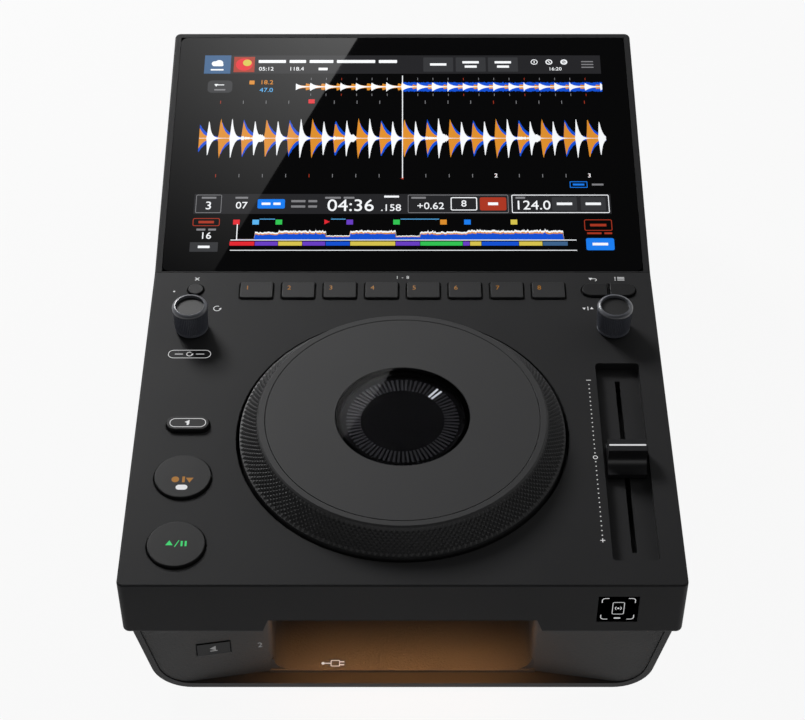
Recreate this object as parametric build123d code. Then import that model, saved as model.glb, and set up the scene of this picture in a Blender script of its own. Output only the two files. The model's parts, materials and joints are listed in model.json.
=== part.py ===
from build123d import *

import math
import os

# A tabletop media player for DJs: a jog wheel, fader, buttons and touch screen on a case with a USB shelf.
# Axes: +X to the right, +Y towards the back, +Z up. Origin: the middle of the footprint, on the table.
# Pieces are drawn with the deck's front face at Y = 0 and moved forward by half the depth at the end.
# Names in capitals are sizes that can be set, in millimetres or degrees. The other names follow from them.

# ---- Clearances ----
SEAM = 0.2  # between two fixed pieces that butt
BUTTON_GAP = 0.5  # round a button, in its hole
RUNNING = 0.05  # radial, round a turning or sliding shaft
FIT = 0.02  # radial, round what is pressed or glued in
SWITCH_SLACK = 0.1  # left between a button's stem and its switch at full travel

# ---- Case ----
SHELL_WALL = 2.5
DECK_THICKNESS = 3.0
SKIRT_HEIGHT = 33.5
CORNER_RADIUS = 3.0
TOP_EDGE_RADIUS = 0.9
LOW_EDGE_RADIUS = 1.8
LIP_RETURN = 5.5
RETURN_THICKNESS = 2.0
COLUMN_WIDTH = 47.8  # from the jog wheel's hole to the case's side
FRONT_MARGIN = 13.4  # from the front face to the jog wheel's hole
PAD_ZONE = 33.2  # from the jog wheel's hole to the screen

# ---- Base ----
FOOT_HEIGHT = 2.5
FOOT_RADIUS = 10.0
FOOT_RECESS = 0.6
FOOT_INSET_X = 42.0
FOOT_INSET_Y = 26.0
BASE_WALL = 3.0
BASE_TAPER = 12.4
BASE_CORNER_RADIUS = 18.3
BASE_SETBACK_FRONT = 5.0
BASE_SETBACK_REAR = 12.0
RIM_HEIGHT = 6.0
RIM_WALL = 2.3

# ---- USB shelf in the front of the base ----
SHELF_HALF_WIDTH = 60.1
SHELF_HEIGHT = 50.0
SHELF_DEPTH = 48.0
SHELF_FLOOR = 1.5
SHELF_CEILING = 2.5
SHELF_CLEARANCE = 2.0
SHELF_FILLET = 7.3
FASCIA_THICKNESS = 2.0
FASCIA_RIM_SETBACK = 0.6
FASCIA_RECESS = 6.7
FASCIA_TURN_INSET = 24.0
FASCIA_TURN_RADIUS = 60.0
FASCIA_EDGE_RADIUS = 2.5
FLOOR_STEP = 1.0
NOTCH_MARGIN = 0.2
NOTCH_SLANT = 3.0
LIGHT_LENGTH = 80.0
LIGHT_WIDTH = 4.0
LIGHT_SETBACK = 6.0

# ---- Jog wheel ----
JOG_RADIUS = 77.4
JOG_GAP = 0.8
JOG_HEIGHT = 12.0
JOG_UPRIGHT = 1.5
JOG_FLANK_HEIGHT = 10.0
JOG_FLANK_LEAN = 9.7
JOG_RIM_BEVEL = 0.6
JOG_RIM_WIDTH = 2.85
PLATE_GROOVE = 0.25
PLATE_THICKNESS = 2.5
PLATE_COLLAR = 2.0
RING_WALL = 2.5
RING_LIP = 4.2
RING_FOOT = 4.9
RING_DEPTH = 5.0
HUB_THICKNESS = 3.0
HUB_INSET = 1.4
HUB_LIP = 0.8
SLEEVE_WALL = 4.0
SLEEVE_DROP = 1.0
BEARING_BORE_RADIUS = 12.0
BEARING_OUTER_RADIUS = 21.0
BEARING_WIDTH = 8.0
RACE_THICKNESS = 2.7
BALL_COUNT = 12
POST_SHOULDER_HEIGHT = 4.5
POST_SHOULDER = 2.0
POST_BORE_RADIUS = 6.0
DISH_FLOOR = 2.0
DISH_WALL = 2.0
DISH_GAP = 1.0
DISH_FLANGE = 4.8
DISH_FLANGE_THICKNESS = 2.0
DISC_RADIUS = 44.0
DISC_THICKNESS = 0.8
DISC_SLOT_LENGTH = 4.0
DISC_SLOT_WIDTH = 0.8
DISC_SLOT_INSET = 3.2
DISC_FLANGE = 4.0
DISC_DROP = 5.5
SLOT_COUNT = 48
SENSOR_REACH = 6.0
SENSOR_BACK = 6.0
SENSOR_WIDTH = 10.0
SENSOR_SLOT = 3.6
SENSOR_JAW = 2.4

# ---- Jog wheel's display ----
WINDOW_RADIUS = 31.2
WINDOW_GAP = 0.4
WINDOW_THICKNESS = 2.0
DISPLAY_DEPTH = 3.8
DISPLAY_THICKNESS = 3.0
CUP_WALL = 2.0
CUP_FLOOR = 2.2
CUP_STEM_RADIUS = 13.8

# ---- Touch screen ----
SCREEN_LENGTH = 168.0
SCREEN_TILT = 9.67
BEZEL_SIDE = 3.4
BEZEL_FRONT = 0.8
BEZEL_REAR = 3.5
GLASS_THICKNESS = 2.0
GLASS_CORNER_RADIUS = 4.0
GLASS_LEDGE = 3.0
LEDGE_THICKNESS = 2.0
LCD_THICKNESS = 4.5
LCD_SIDE_MARGIN = 8.1
LCD_END_MARGIN = 7.4
BRACKET_THICKNESS = 1.0
BRACKET_RAIL = 2.5
BRACKET_GAP = 0.5
CABLE_DOOR_WIDTH = 110.0
CABLE_DOOR_HEIGHT = 8.0

# ---- Buttons: shape, travel and what they press ----
FLANGE_THICKNESS = 1.5
FLANGE_LAP = 1.2
STEM_RADIUS = 1.6
CAP_EDGE = 0.4
BOARD_DROP = 12.0
BOARD_THICKNESS = 1.6
SWITCH_SIZE = 6.0
SWITCH_HEIGHT = 3.5
PLUNGER_RADIUS = 1.6
PLUNGER_HEIGHT = 1.0
SUPPORT_RADIUS = 2.5
PAD_COUNT = 8
PAD_SPACING = 4.6
PAD_LENGTH = 11.4
PAD_RADIUS = 1.0
PAD_RISE = 1.0
PAD_TRAVEL = 0.6
PAD_ROW_INSET_X = 44.3
PAD_ROW_INSET_Y = 13.7
COLUMN_INSET = 24.8
CUE_RADIUS = 13.0
CUE_RISE = 1.4
CUE_TRAVEL = 0.8
CUE_Y = 63.5
PLAY_Y = 23.0
SHIFT_LENGTH = 20.0
SHIFT_WIDTH = 8.5
SHIFT_RISE = 2.0
SHIFT_TRAVEL = 0.8
SHIFT_Y = 96.5
DELETE_RADIUS = 3.75
DELETE_RISE = 1.0
DELETE_TRAVEL = 0.6
DELETE_INSET_X = 21.8
DELETE_INSET_Y = 13.0
PAIR_LENGTH = 26.5
PAIR_WIDTH = 9.0
PAIR_BAR = 1.5
PAIR_RISE = 1.2
PAIR_TRAVEL = 0.6
PAIR_INSET_X = 22.25
PAIR_INSET_Y = 13.5
LED_RADIUS = 0.5
LED_PIPE_RADIUS = 1.2
LED_INSET_X = 11.0
LED_INSET_Y = 14.0

# ---- Push knobs ----
KNOB_RADIUS = 8.2
KNOB_TOP_RADIUS = 8.75
KNOB_HEIGHT = 15.0
KNOB_RISE = 0.7
KNOB_TRAVEL = 0.5
KNOB_DISH_RADIUS = 6.9
KNOB_DISH_DEPTH = 2.6
KNOB_HOLLOW_RADIUS = 6.2
KNOB_HOLLOW_DEPTH = 5.0
KNOB_RIM_CHAMFER = 1.4
KNOB_INSET_X = 21.85
KNOB_INSET_Y = 40.5
SHAFT_RADIUS = 3.0
SHAFT_TOP_GAP = 2.0
BUSHING_RADIUS = 4.0
ENCODER_SIZE = 13.0
ENCODER_HEIGHT = 6.5
ENCODER_WALL = 1.2
ROTOR_GAP = 0.3
KEY_WIDTH = 3.4

# ---- Tempo fader ----
WELL_WIDTH = 21.2
WELL_LENGTH = 123.5
WELL_DEPTH = 4.5
WELL_INSET_X = 21.9
WELL_INSET_Y = 14.5
WELL_CORNER_RADIUS = 1.8
TRAY_THICKNESS = 1.5
TRAY_FLANGE = 1.3
FADER_TRAVEL = 50.0
SLIT_WIDTH = 2.4
SLIT_SLACK = 1.2
LEVER_THICKNESS = 1.1
LEVER_WIDTH = 5.0
CAP_WIDTH = 17.9
CAP_LENGTH = 19.6
CAP_RISE = 8.5
CAP_FLOAT = 1.0
CAP_RIDGE = 7.2
CAP_RIDGE_SIDE = 4.2
CAP_LIP = 0.8
CAP_GRIP = 5.0
FADER_BODY_WIDTH = 12.0
FADER_BODY_HEIGHT = 11.0
FADER_BODY_WALL = 1.2
CARRIAGE_LENGTH = 12.0
CARRIAGE_GAP = 0.3

# ---- Near-field window in the front face ----
NFC_WIDTH = 18.3
NFC_HEIGHT = 18.0
NFC_INSET_X = 30.15
NFC_DROP = 16.5
NFC_RECESS = 0.3
NFC_FLANGE = 2.0
NFC_FLANGE_THICKNESS = 1.2

# ---- Eject button in the fascia ----
EJECT_WIDTH = 15.2
EJECT_HEIGHT = 8.0
EJECT_INSET_X = 39.0
EJECT_Z = 28.6
EJECT_RISE = 0.5
EJECT_TRAVEL = 0.5
EJECT_FLANGE = 0.8
EJECT_BOARD_DROP = 10.0
EJECT_BOARD_WIDTH = 28.4
EJECT_BOARD_HEIGHT = 12.0

# ---- USB-A socket ----
USB_X = -33.0
USB_ABOVE_FLOOR = 14.0
USB_WIDTH = 14.5
USB_HEIGHT = 7.0
USB_DEPTH = 18.0
USB_WALL = 0.9
USB_CAVITY_DEPTH = 11.0
USB_TONGUE = 1.8

# ---- Rear panel and its sockets ----
PANEL_THICKNESS = 2.0
RCA_SLEEVE_RADIUS = 4.15
RCA_SLEEVE_LENGTH = 9.0
RCA_COLLAR_RADIUS = 5.2
RCA_COLLAR_RISE = 0.6
RCA_HOLE_RADIUS = 1.6
RCA_BODY = 14.0
RCA_BODY_DEPTH = 16.0
RCA_PITCH = 18.0
RCA_COUNT = 3
RCA_INSET_X = 42.0
LAN_WIDTH = 16.0
LAN_HEIGHT = 13.5
LAN_DEPTH = 18.0
LAN_CAVITY_WIDTH = 11.8
LAN_CAVITY_HEIGHT = 7.4
LAN_CAVITY_DEPTH = 13.0
LAN_X = -8.0
USB_B_WIDTH = 12.0
USB_B_HEIGHT = 11.0
USB_B_DEPTH = 16.0
USB_B_WALL = 1.6
USB_B_CORE_WIDTH = 5.6
USB_B_CORE_HEIGHT = 3.2
USB_B_CAVITY_DEPTH = 10.0
USB_B_X = -28.0
INLET_WIDTH = 28.0
INLET_HEIGHT = 21.0
INLET_DEPTH = 20.0
INLET_WALL = 2.0
INLET_FLANGE = 2.5
INLET_FLANGE_THICKNESS = 1.5
INLET_CAVITY_DEPTH = 16.0
INLET_PIN_WIDTH = 2.0
INLET_PIN_HEIGHT = 4.0
INLET_PIN_PITCH = 7.0
INLET_PIN_LENGTH = 13.0
INLET_X = 52.0
SOCKET_AXIS_DROP = 22.0
POWER_WIDTH = 12.0
POWER_HEIGHT = 8.0
POWER_RISE = 3.0
POWER_TRAVEL = 2.0
POWER_X = 84.0
POWER_SWITCH_SIZE = 14.0
POWER_SWITCH_DEPTH = 16.0
POWER_STEM_LENGTH = 8.0

# ---- Boards in the base ----
STANDOFF_HEIGHT = 6.0
STANDOFF_RADIUS = 3.0
MAIN_BOARD_LEFT_INSET = 34.0
MAIN_BOARD_RIGHT_X = 6.0
MAIN_BOARD_LENGTH = 130.0
SUPPLY_LEFT_X = 24.0
SUPPLY_RIGHT_X = 91.0
SUPPLY_LENGTH = 120.0
BOARD_EDGE = 5.0
CHIP_SIZE = 28.0
CHIP_HEIGHT = 2.5
HEATSINK_SIZE = 36.0
HEATSINK_BASE = 2.5
HEATSINK_HEIGHT = 12.0
HEATSINK_FIN = 1.6
HEATSINK_FINS = 6
TRANSFORMER_SIZE = 26.0
TRANSFORMER_HEIGHT = 22.0
CAPACITOR_RADIUS = 8.0
CAPACITOR_HEIGHT = 24.0

# ---- Case screws ----
SCREW_POST_RADIUS = 4.5
SCREW_RADIUS = 1.5
SCREW_HEAD_RADIUS = 2.8
SCREW_HEAD_HEIGHT = 2.0
SCREW_GRIP = 10.0
SCREW_HOLD = 7.0
SCREW_INSET_X = 28.0
SCREW_SHELF_GAP = 1.8
SCREW_DISH_GAP = 1.0
BOSS_HEIGHT = 9.5

# ---- Places that follow from the sizes ----
CUT = 1.0  # how far a cutting block runs past what it cuts

jog_hole_radius = JOG_RADIUS + JOG_GAP
half_width = jog_hole_radius + COLUMN_WIDTH
jog_y = FRONT_MARGIN + jog_hole_radius
deck_depth = FRONT_MARGIN + 2 * jog_hole_radius + PAD_ZONE
tilt = math.radians(SCREEN_TILT)
depth = deck_depth + SCREEN_LENGTH * math.cos(tilt)

base_floor = FOOT_HEIGHT + BASE_WALL
shelf_floor = base_floor + SHELF_FLOOR
shelf_ceiling = shelf_floor + SHELF_HEIGHT
shelf_top = shelf_ceiling + SHELF_CEILING
dish_bottom = shelf_top + SHELF_CLEARANCE
dish_floor = dish_bottom + DISH_FLOOR
bearing_bottom = dish_floor + POST_SHOULDER_HEIGHT
bearing_top = bearing_bottom + BEARING_WIDTH
ring_bottom = bearing_top + HUB_THICKNESS
deck_top = ring_bottom + RING_DEPTH
deck_under = deck_top - DECK_THICKNESS
skirt_bottom = deck_top - SKIRT_HEIGHT
inner_half = half_width - SHELL_WALL
seam_z = skirt_bottom - SEAM
rim_top = skirt_bottom + RIM_HEIGHT
joint_z = rim_top + RETURN_THICKNESS
board_top = deck_under - BOARD_DROP
board_under = board_top - BOARD_THICKNESS

base_front = BASE_SETBACK_FRONT
base_back = depth - BASE_SETBACK_REAR
base_lean = math.tan(math.radians(BASE_TAPER))
base_slope = math.cos(math.radians(BASE_TAPER))
panel_front = base_back - PANEL_THICKNESS
base_middle = (deck_depth + depth) / 2

fascia_rim_y = base_front + FASCIA_RIM_SETBACK
fascia_inner_y = fascia_rim_y + FASCIA_RECESS
fascia_turn_x = half_width - FASCIA_TURN_INSET
fascia_slope = FASCIA_RECESS / (fascia_turn_x - SHELF_HALF_WIDTH)
fascia_angle = math.degrees(math.atan(fascia_slope))
shelf_back = fascia_inner_y + SHELF_DEPTH
light_y = SHELL_WALL + LIGHT_SETBACK + LIGHT_WIDTH / 2
usb_z = shelf_floor + USB_ABOVE_FLOOR

jog_top = deck_top + JOG_HEIGHT
plate_radius = JOG_RADIUS - JOG_FLANK_LEAN - JOG_RIM_BEVEL - JOG_RIM_WIDTH - PLATE_GROOVE
plate_seat = jog_top - PLATE_THICKNESS
hole_in_plate = WINDOW_RADIUS + WINDOW_GAP
hub_radius = JOG_RADIUS - HUB_INSET
sleeve_radius = BEARING_OUTER_RADIUS + SLEEVE_WALL
sleeve_bottom = bearing_bottom - SLEEVE_DROP
disc_top = bearing_top - DISC_DROP
display_top = jog_top - DISPLAY_DEPTH
display_bottom = display_top - DISPLAY_THICKNESS
cup_bottom = display_bottom - CUP_FLOOR
cup_top = jog_top - WINDOW_THICKNESS
dish_radius = jog_hole_radius + DISH_GAP

glass_half = half_width - BEZEL_SIDE
glass_end = SCREEN_LENGTH - BEZEL_REAR
ledge_under = -(GLASS_THICKNESS + LEDGE_THICKNESS)
lcd_under = -(GLASS_THICKNESS + LCD_THICKNESS)

column_x = half_width - COLUMN_INSET
pad_row_half = half_width - PAD_ROW_INSET_X
pad_pitch = (2 * pad_row_half + PAD_SPACING) / PAD_COUNT
pad_width = pad_pitch - PAD_SPACING
pad_y = deck_depth - PAD_ROW_INSET_Y
knob_x = half_width - KNOB_INSET_X
knob_y = deck_depth - KNOB_INSET_Y
well_x = half_width - WELL_INSET_X
well_y = WELL_INSET_Y + WELL_LENGTH / 2
well_floor = deck_top - WELL_DEPTH
fader_body_top = well_floor - TRAY_THICKNESS
pair_x = half_width - PAIR_INSET_X
pair_y = deck_depth - PAIR_INSET_Y
nfc_x = half_width - NFC_INSET_X
nfc_z = deck_top - NFC_DROP
socket_z = skirt_bottom - SOCKET_AXIS_DROP
low_board_under = base_floor + STANDOFF_HEIGHT
low_board_top = low_board_under + BOARD_THICKNESS
lan_z = low_board_top + LAN_HEIGHT / 2
usb_b_z = low_board_top + USB_B_HEIGHT / 2
screw_x = half_width - SCREW_INSET_X
screw_seat = joint_z - SCREW_GRIP
screw_front_x = SHELF_HALF_WIDTH + FASCIA_THICKNESS + SCREW_SHELF_GAP + SCREW_POST_RADIUS
screw_ring = dish_radius + DISH_WALL + DISH_FLANGE + SCREW_DISH_GAP + SCREW_POST_RADIUS
screw_front_y = jog_y - math.sqrt(screw_ring**2 - screw_front_x**2)

SCREEN_PLANE = Pos(0, deck_depth, deck_top) * Rot(SCREEN_TILT, 0, 0)
eject_x = -(half_width - EJECT_INSET_X)
eject_y = fascia_rim_y + (fascia_turn_x + eject_x) * fascia_slope
EJECT_PLANE = Pos(eject_x, eject_y, EJECT_Z) * Rot(0, 0, fascia_angle)

# Where the deck's own buttons are: outline, place, rise, travel
ROUND_BUTTONS = {
    "cue_button": (CUE_RADIUS, -column_x, CUE_Y, CUE_RISE, CUE_TRAVEL),
    "play_button": (CUE_RADIUS, -column_x, PLAY_Y, CUE_RISE, CUE_TRAVEL),
    "delete_button": (
        DELETE_RADIUS,
        -(half_width - DELETE_INSET_X),
        deck_depth - DELETE_INSET_Y,
        DELETE_RISE,
        DELETE_TRAVEL,
    ),
}
PAD_X = [(i - (PAD_COUNT - 1) / 2) * pad_pitch for i in range(PAD_COUNT)]
SCREW_PLACES = [
    (side * x, y)
    for side in (-1, 1)
    for x, y in (
        (screw_front_x, screw_front_y),
        (screw_x, deck_depth + SEAM + SHELL_WALL + SCREW_POST_RADIUS),
        (screw_x, panel_front - RETURN_THICKNESS - SEAM - SCREW_POST_RADIUS),
    )
]


# ---- Shapes ----
def block(x0, x1, y0, y1, z0, z1):
    """A block between two opposite corners."""
    return Pos((x0 + x1) / 2, (y0 + y1) / 2, (z0 + z1) / 2) * Box(x1 - x0, y1 - y0, z1 - z0)


def upright(x, y, wide, long, z0, z1):
    """A block with its middle at (x, y), seen from above."""
    return Pos(x, y, (z0 + z1) / 2) * Box(wide, long, z1 - z0)


def facing(x, z, wide, tall, y0, y1):
    """A block with its middle at (x, z), seen from the front."""
    return Pos(x, (y0 + y1) / 2, z) * Box(wide, y1 - y0, tall)


def rod(x, y, z0, z1, radius):
    """An upright cylinder."""
    return Pos(x, y, (z0 + z1) / 2) * Cylinder(radius, z1 - z0)


def rod_y(x, z, y0, y1, radius):
    """A cylinder that lies from front to back."""
    return Pos(x, (y0 + y1) / 2, z) * Rot(90, 0, 0) * Cylinder(radius, y1 - y0)


def raised(sketch, x, y, z0, z1):
    """A flat outline, drawn in X and Y, raised from z0 to z1."""
    return Pos(x, y, z0) * extrude(sketch, z1 - z0)


def from_front(sketch, y0, y1):
    """An outline seen from the front, drawn in X and Z, carried from y0 back to y1."""
    return Pos(0, y0, 0) * extrude(Plane.XZ * sketch, y0 - y1)


def turned(x, y, *points):
    """A ring or disc: its section in radius and height, turned about an upright axis."""
    section = Plane.XZ * make_face(Polyline(*points, close=True))
    return Pos(x, y, 0) * revolve(section, Axis.Z)


def outline(*points):
    """A flat face with straight sides."""
    return make_face(Polyline(*points, close=True))


def rounded_corner(face, x, y, radius):
    """The same face with the corner nearest to (x, y) rounded."""
    corner = face.vertices().sort_by_distance((x, y, 0))[0]
    return fillet(corner, radius)


def mirrored_points(points):
    """A line of points on the right, followed by the same line on the left, going back."""
    return points + [(-x, y) for x, y in reversed(points)]


# ---- Case ----
def case_block(y0, y1):
    """The outside of the upper case, from y0 to y1, before it is hollowed."""
    return block(-half_width, half_width, y0, y1, skirt_bottom, deck_top)


def deck_holes():
    """Everything that passes through the deck's top plate."""
    low = deck_under - CUT
    high = deck_top + CUT
    holes = [rod(0, jog_y, low, high, jog_hole_radius)]
    for x in PAD_X:
        holes.append(raised(pad_outline(BUTTON_GAP), x, pad_y, low, high))
    for radius, x, y, _rise, _travel in ROUND_BUTTONS.values():
        holes.append(rod(x, y, low, high, radius + BUTTON_GAP))
    holes.append(raised(shift_outline(BUTTON_GAP), -column_x, SHIFT_Y, low, high))
    for side in (-1, 1):
        holes.append(raised(pair_outline(side, BUTTON_GAP), pair_x, pair_y, low, high))
        holes.append(rod(side * knob_x, knob_y, low, high, BUSHING_RADIUS + BUTTON_GAP))
    holes.append(raised(well_outline(0), well_x, well_y, low, high))
    holes.append(rod(-(half_width - LED_INSET_X), deck_depth - LED_INSET_Y, low, high, LED_RADIUS + FIT))
    return holes


def lip_notch():
    """The wide notch in the front lip, above the USB shelf."""
    top = SHELF_HALF_WIDTH + NOTCH_MARGIN
    right = [(top + NOTCH_SLANT, skirt_bottom - CUT), (top + NOTCH_SLANT, skirt_bottom), (top, shelf_top)]
    return from_front(outline(*mirrored_points(right)), -CUT, base_front + LIP_RETURN + CUT)


def deck_panel():
    """The upper case: top plate, front lip and side skirts, with posts for the boards and screws."""
    shell = case_block(0, deck_depth)
    shell = fillet(shell.edges().filter_by(Axis.Z).sort_by(Axis.Y)[:2], CORNER_RADIUS)
    rear = shell.faces().sort_by(Axis.Y)[-1]
    top = shell.faces().sort_by(Axis.Z)[-1]
    shell = fillet([e for e in top.edges() if e.center().Y < rear.center().Y - SEAM], TOP_EDGE_RADIUS)
    bottom = shell.faces().sort_by(Axis.Z)[0]
    shell = fillet([e for e in bottom.edges() if e.center().Y < rear.center().Y - SEAM], LOW_EDGE_RADIUS)
    shell -= block(-inner_half, inner_half, SHELL_WALL, deck_depth + CUT, skirt_bottom - CUT, deck_under)
    lip_back = base_front + LIP_RETURN
    lip_top = skirt_bottom + RETURN_THICKNESS
    shell += block(-inner_half, inner_half, SHELL_WALL, lip_back, skirt_bottom, lip_top)
    shell += block(-inner_half, inner_half, SHELL_WALL, base_front - SEAM, skirt_bottom, rim_top)
    shell -= lip_notch()
    shell -= deck_holes()
    shell -= facing(nfc_x, nfc_z, NFC_WIDTH, NFC_HEIGHT, -CUT, SHELL_WALL + CUT)
    for x, y in SCREW_PLACES:
        if y < deck_depth:
            shell += rod(x, y, joint_z, deck_under, SCREW_POST_RADIUS)
            shell -= rod(x, y, joint_z - CUT, joint_z + SCREW_HOLD + CUT, SCREW_RADIUS + FIT)
    for x, y in board_supports():
        shell += rod(x, y, board_top, deck_under, SUPPORT_RADIUS)
    return shell


def screen_section(inset):
    """Side view of the screen's housing, drawn in Y and Z, with its walls taken in by inset."""
    front = deck_depth + SEAM + inset
    back = depth - inset
    low = skirt_bottom if inset == 0 else skirt_bottom - CUT
    drop = 0 if inset == 0 else -ledge_under / math.cos(tilt)
    high = [deck_top + (y - deck_depth) * math.tan(tilt) - drop for y in (front, back)]
    return outline((front, low), (back, low), (back, high[1]), (front, high[0]))


def screen_housing():
    """The wedge that carries the touch screen, with a ledge under the glass and bosses for the screws."""
    shell = extrude(Plane.YZ * screen_section(0), half_width, both=True)
    shell = fillet(shell.edges().filter_by(Axis.Z).sort_by(Axis.Y)[-2:], CORNER_RADIUS)
    front = shell.faces().sort_by(Axis.Y)[0]
    bottom = shell.faces().sort_by(Axis.Z)[0]
    shell = fillet([e for e in bottom.edges() if e.center().Y > front.center().Y + SEAM], LOW_EDGE_RADIUS)
    top = [f for f in shell.faces() if abs(f.normal_at().Z - math.cos(tilt)) < 0.01][0]
    shell = fillet([e for e in top.edges() if e.center().Y > front.center().Y + SEAM], TOP_EDGE_RADIUS)
    hollow = extrude(Plane.YZ * screen_section(SHELL_WALL), inner_half, both=True)
    shell -= hollow
    glass = block(-glass_half, glass_half, BEZEL_FRONT, glass_end, -GLASS_THICKNESS, CUT)
    opening = block(
        GLASS_LEDGE - glass_half,
        glass_half - GLASS_LEDGE,
        BEZEL_FRONT + GLASS_LEDGE,
        glass_end - GLASS_LEDGE,
        ledge_under - CUT,
        CUT,
    )
    shell -= SCREEN_PLANE * glass
    shell -= SCREEN_PLANE * opening
    wall_y = deck_depth + SEAM + SHELL_WALL / 2
    wall_cut = SHELL_WALL + 2 * CUT
    shell -= upright(0, wall_y, 2 * inner_half, wall_cut, skirt_bottom - CUT, joint_z)
    shell -= upright(0, wall_y, CABLE_DOOR_WIDTH, wall_cut, joint_z - CUT, joint_z + CABLE_DOOR_HEIGHT)
    lip_front = panel_front - RETURN_THICKNESS
    lip_back = depth - SHELL_WALL
    lip_top = skirt_bottom + RETURN_THICKNESS
    shell += block(-inner_half, inner_half, lip_front, lip_back, skirt_bottom, lip_top)
    wide = 2 * SCREW_POST_RADIUS
    for x, y in SCREW_PLACES:
        if y > deck_depth:
            wall = lip_back if y > base_middle else deck_depth + SEAM + SHELL_WALL
            free = y - SCREW_POST_RADIUS if y > base_middle else y + SCREW_POST_RADIUS
            shell += upright(x, (wall + free) / 2, wide, abs(wall - free), joint_z, joint_z + BOSS_HEIGHT)
            shell -= rod(x, y, joint_z - CUT, joint_z + SCREW_HOLD + CUT, SCREW_RADIUS + FIT)
    return shell


# ---- Base ----
def base_half_at(z, inset):
    """Half the base's width at a height, with its wall taken in by inset."""
    return inner_half - (skirt_bottom - z) * base_lean - inset / base_slope


def base_section(inset, top):
    """Front view of the base, taken in by inset all round, up to a height."""
    low = FOOT_HEIGHT + inset
    right = [(base_half_at(low, inset), low), (base_half_at(top, inset), top)]
    face = outline(*mirrored_points(right))
    for side in (-1, 1):
        face = rounded_corner(face, side * right[0][0], low, BASE_CORNER_RADIUS - inset)
    return face


def foot_places():
    """Where the four feet are."""
    return [
        (side * (half_width - FOOT_INSET_X), y)
        for side in (-1, 1)
        for y in (base_front + FOOT_INSET_Y, base_back - FOOT_INSET_Y)
    ]


def base_shell():
    """The lower case: a tapered tray, open at both ends, with rims that go up inside the skirts."""
    shell = from_front(base_section(0, seam_z), base_front, base_back)
    shell -= from_front(base_section(BASE_WALL, seam_z + CUT), base_front - CUT, base_back + CUT)
    rim_out = inner_half - SEAM
    rim_low = seam_z - 2 * BASE_WALL
    rim_front = base_front + LIP_RETURN + SEAM
    for side in (-1, 1):
        ends = sorted((side * rim_out, side * (rim_out - RIM_WALL)))
        rim = block(*ends, rim_front, panel_front - RETURN_THICKNESS - SEAM, rim_low, rim_top)
        outside = from_front(base_section(0, seam_z), base_front, base_back)
        above = block(-half_width, half_width, 0, depth, seam_z, rim_top + CUT)
        shell += rim & (outside + above)
    for x, y in SCREW_PLACES:
        shell += rod(x, y, FOOT_HEIGHT + BASE_WALL / 2, joint_z - SEAM, SCREW_POST_RADIUS)
        shell -= rod(x, y, 0, screw_seat, SCREW_HEAD_RADIUS + SEAM)
        shell -= rod(x, y, screw_seat - CUT, joint_z + CUT, SCREW_RADIUS + SEAM)
    for x, y in standoff_places():
        shell += rod(x, y, FOOT_HEIGHT + BASE_WALL / 2, low_board_under, STANDOFF_RADIUS)
    for x, y in foot_places():
        shell -= rod(x, y, 0, FOOT_HEIGHT + FOOT_RECESS, FOOT_RADIUS + FIT)
    return shell


def front_fascia():
    """The grained front panel: two panels that lean in towards a deep USB shelf."""
    back = shelf_back
    far_x = base_half_at(skirt_bottom, 0)
    thick = FASCIA_THICKNESS
    seen = [(far_x, fascia_rim_y), (fascia_turn_x, fascia_rim_y), (SHELF_HALF_WIDTH, fascia_inner_y)]
    seen.append((SHELF_HALF_WIDTH, back))
    hidden = [(x, y + thick) for x, y in seen[:2]]
    hidden.append((SHELF_HALF_WIDTH + thick, fascia_inner_y + thick - thick * fascia_slope))
    hidden.append((SHELF_HALF_WIDTH + thick, back + thick))
    left_hidden = [(-x, y) for x, y in hidden]
    plan = outline(*mirrored_points(seen), *left_hidden, *reversed(hidden))
    for side in (-1, 1):
        plan = rounded_corner(plan, side * fascia_turn_x, fascia_rim_y, FASCIA_TURN_RADIUS)
        plan = rounded_corner(plan, side * fascia_turn_x, fascia_rim_y + thick, FASCIA_TURN_RADIUS)
        plan = rounded_corner(plan, side * SHELF_HALF_WIDTH, fascia_inner_y, FASCIA_EDGE_RADIUS)
    panel = raised(plan, 0, 0, base_floor, shelf_top)
    wall_x = SHELF_HALF_WIDTH + thick
    for side in (-1, 1):
        ends = sorted((side * wall_x, side * (half_width + CUT)))
        panel -= block(*ends, 0, back, seam_z, shelf_top + CUT)
    panel &= from_front(base_section(BASE_WALL + SEAM, shelf_top + CUT), 0, back + 2 * thick) + block(
        -wall_x, wall_x, 0, back + 2 * thick, base_floor, shelf_top
    )
    panel += block(-wall_x, wall_x, fascia_inner_y - FLOOR_STEP, back + thick, base_floor, shelf_floor)
    panel += block(-wall_x, wall_x, SHELL_WALL + SEAM, back + thick, shelf_ceiling, shelf_top)
    for side in (-1, 1):
        near = side * (SHELF_HALF_WIDTH - SHELF_FILLET)
        ends = sorted((near, side * (SHELF_HALF_WIDTH + thick / 2)))
        gusset = block(*ends, fascia_inner_y, back + thick / 2, shelf_floor, shelf_floor + SHELF_FILLET)
        gusset -= rod_y(near, shelf_floor + SHELF_FILLET, fascia_inner_y - CUT, back + thick, SHELF_FILLET)
        panel += gusset
    panel -= upright(0, light_y, LIGHT_LENGTH, LIGHT_WIDTH, shelf_ceiling - CUT, shelf_top + CUT)
    panel -= facing(USB_X, usb_z, USB_WIDTH + 2 * SEAM, USB_HEIGHT + 2 * SEAM, back - CUT, back + thick + CUT)
    wide = EJECT_WIDTH + 2 * BUTTON_GAP
    tall = EJECT_HEIGHT + 2 * BUTTON_GAP
    panel -= EJECT_PLANE * facing(0, 0, wide, tall, -thick - CUT, thick + CUT)
    for side in (-1, 1):
        x = side * (EJECT_BOARD_WIDTH / 2 - SUPPORT_RADIUS)
        panel += EJECT_PLANE * rod_y(x, 0, thick / 2, EJECT_BOARD_DROP, SUPPORT_RADIUS)
    return panel


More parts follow.
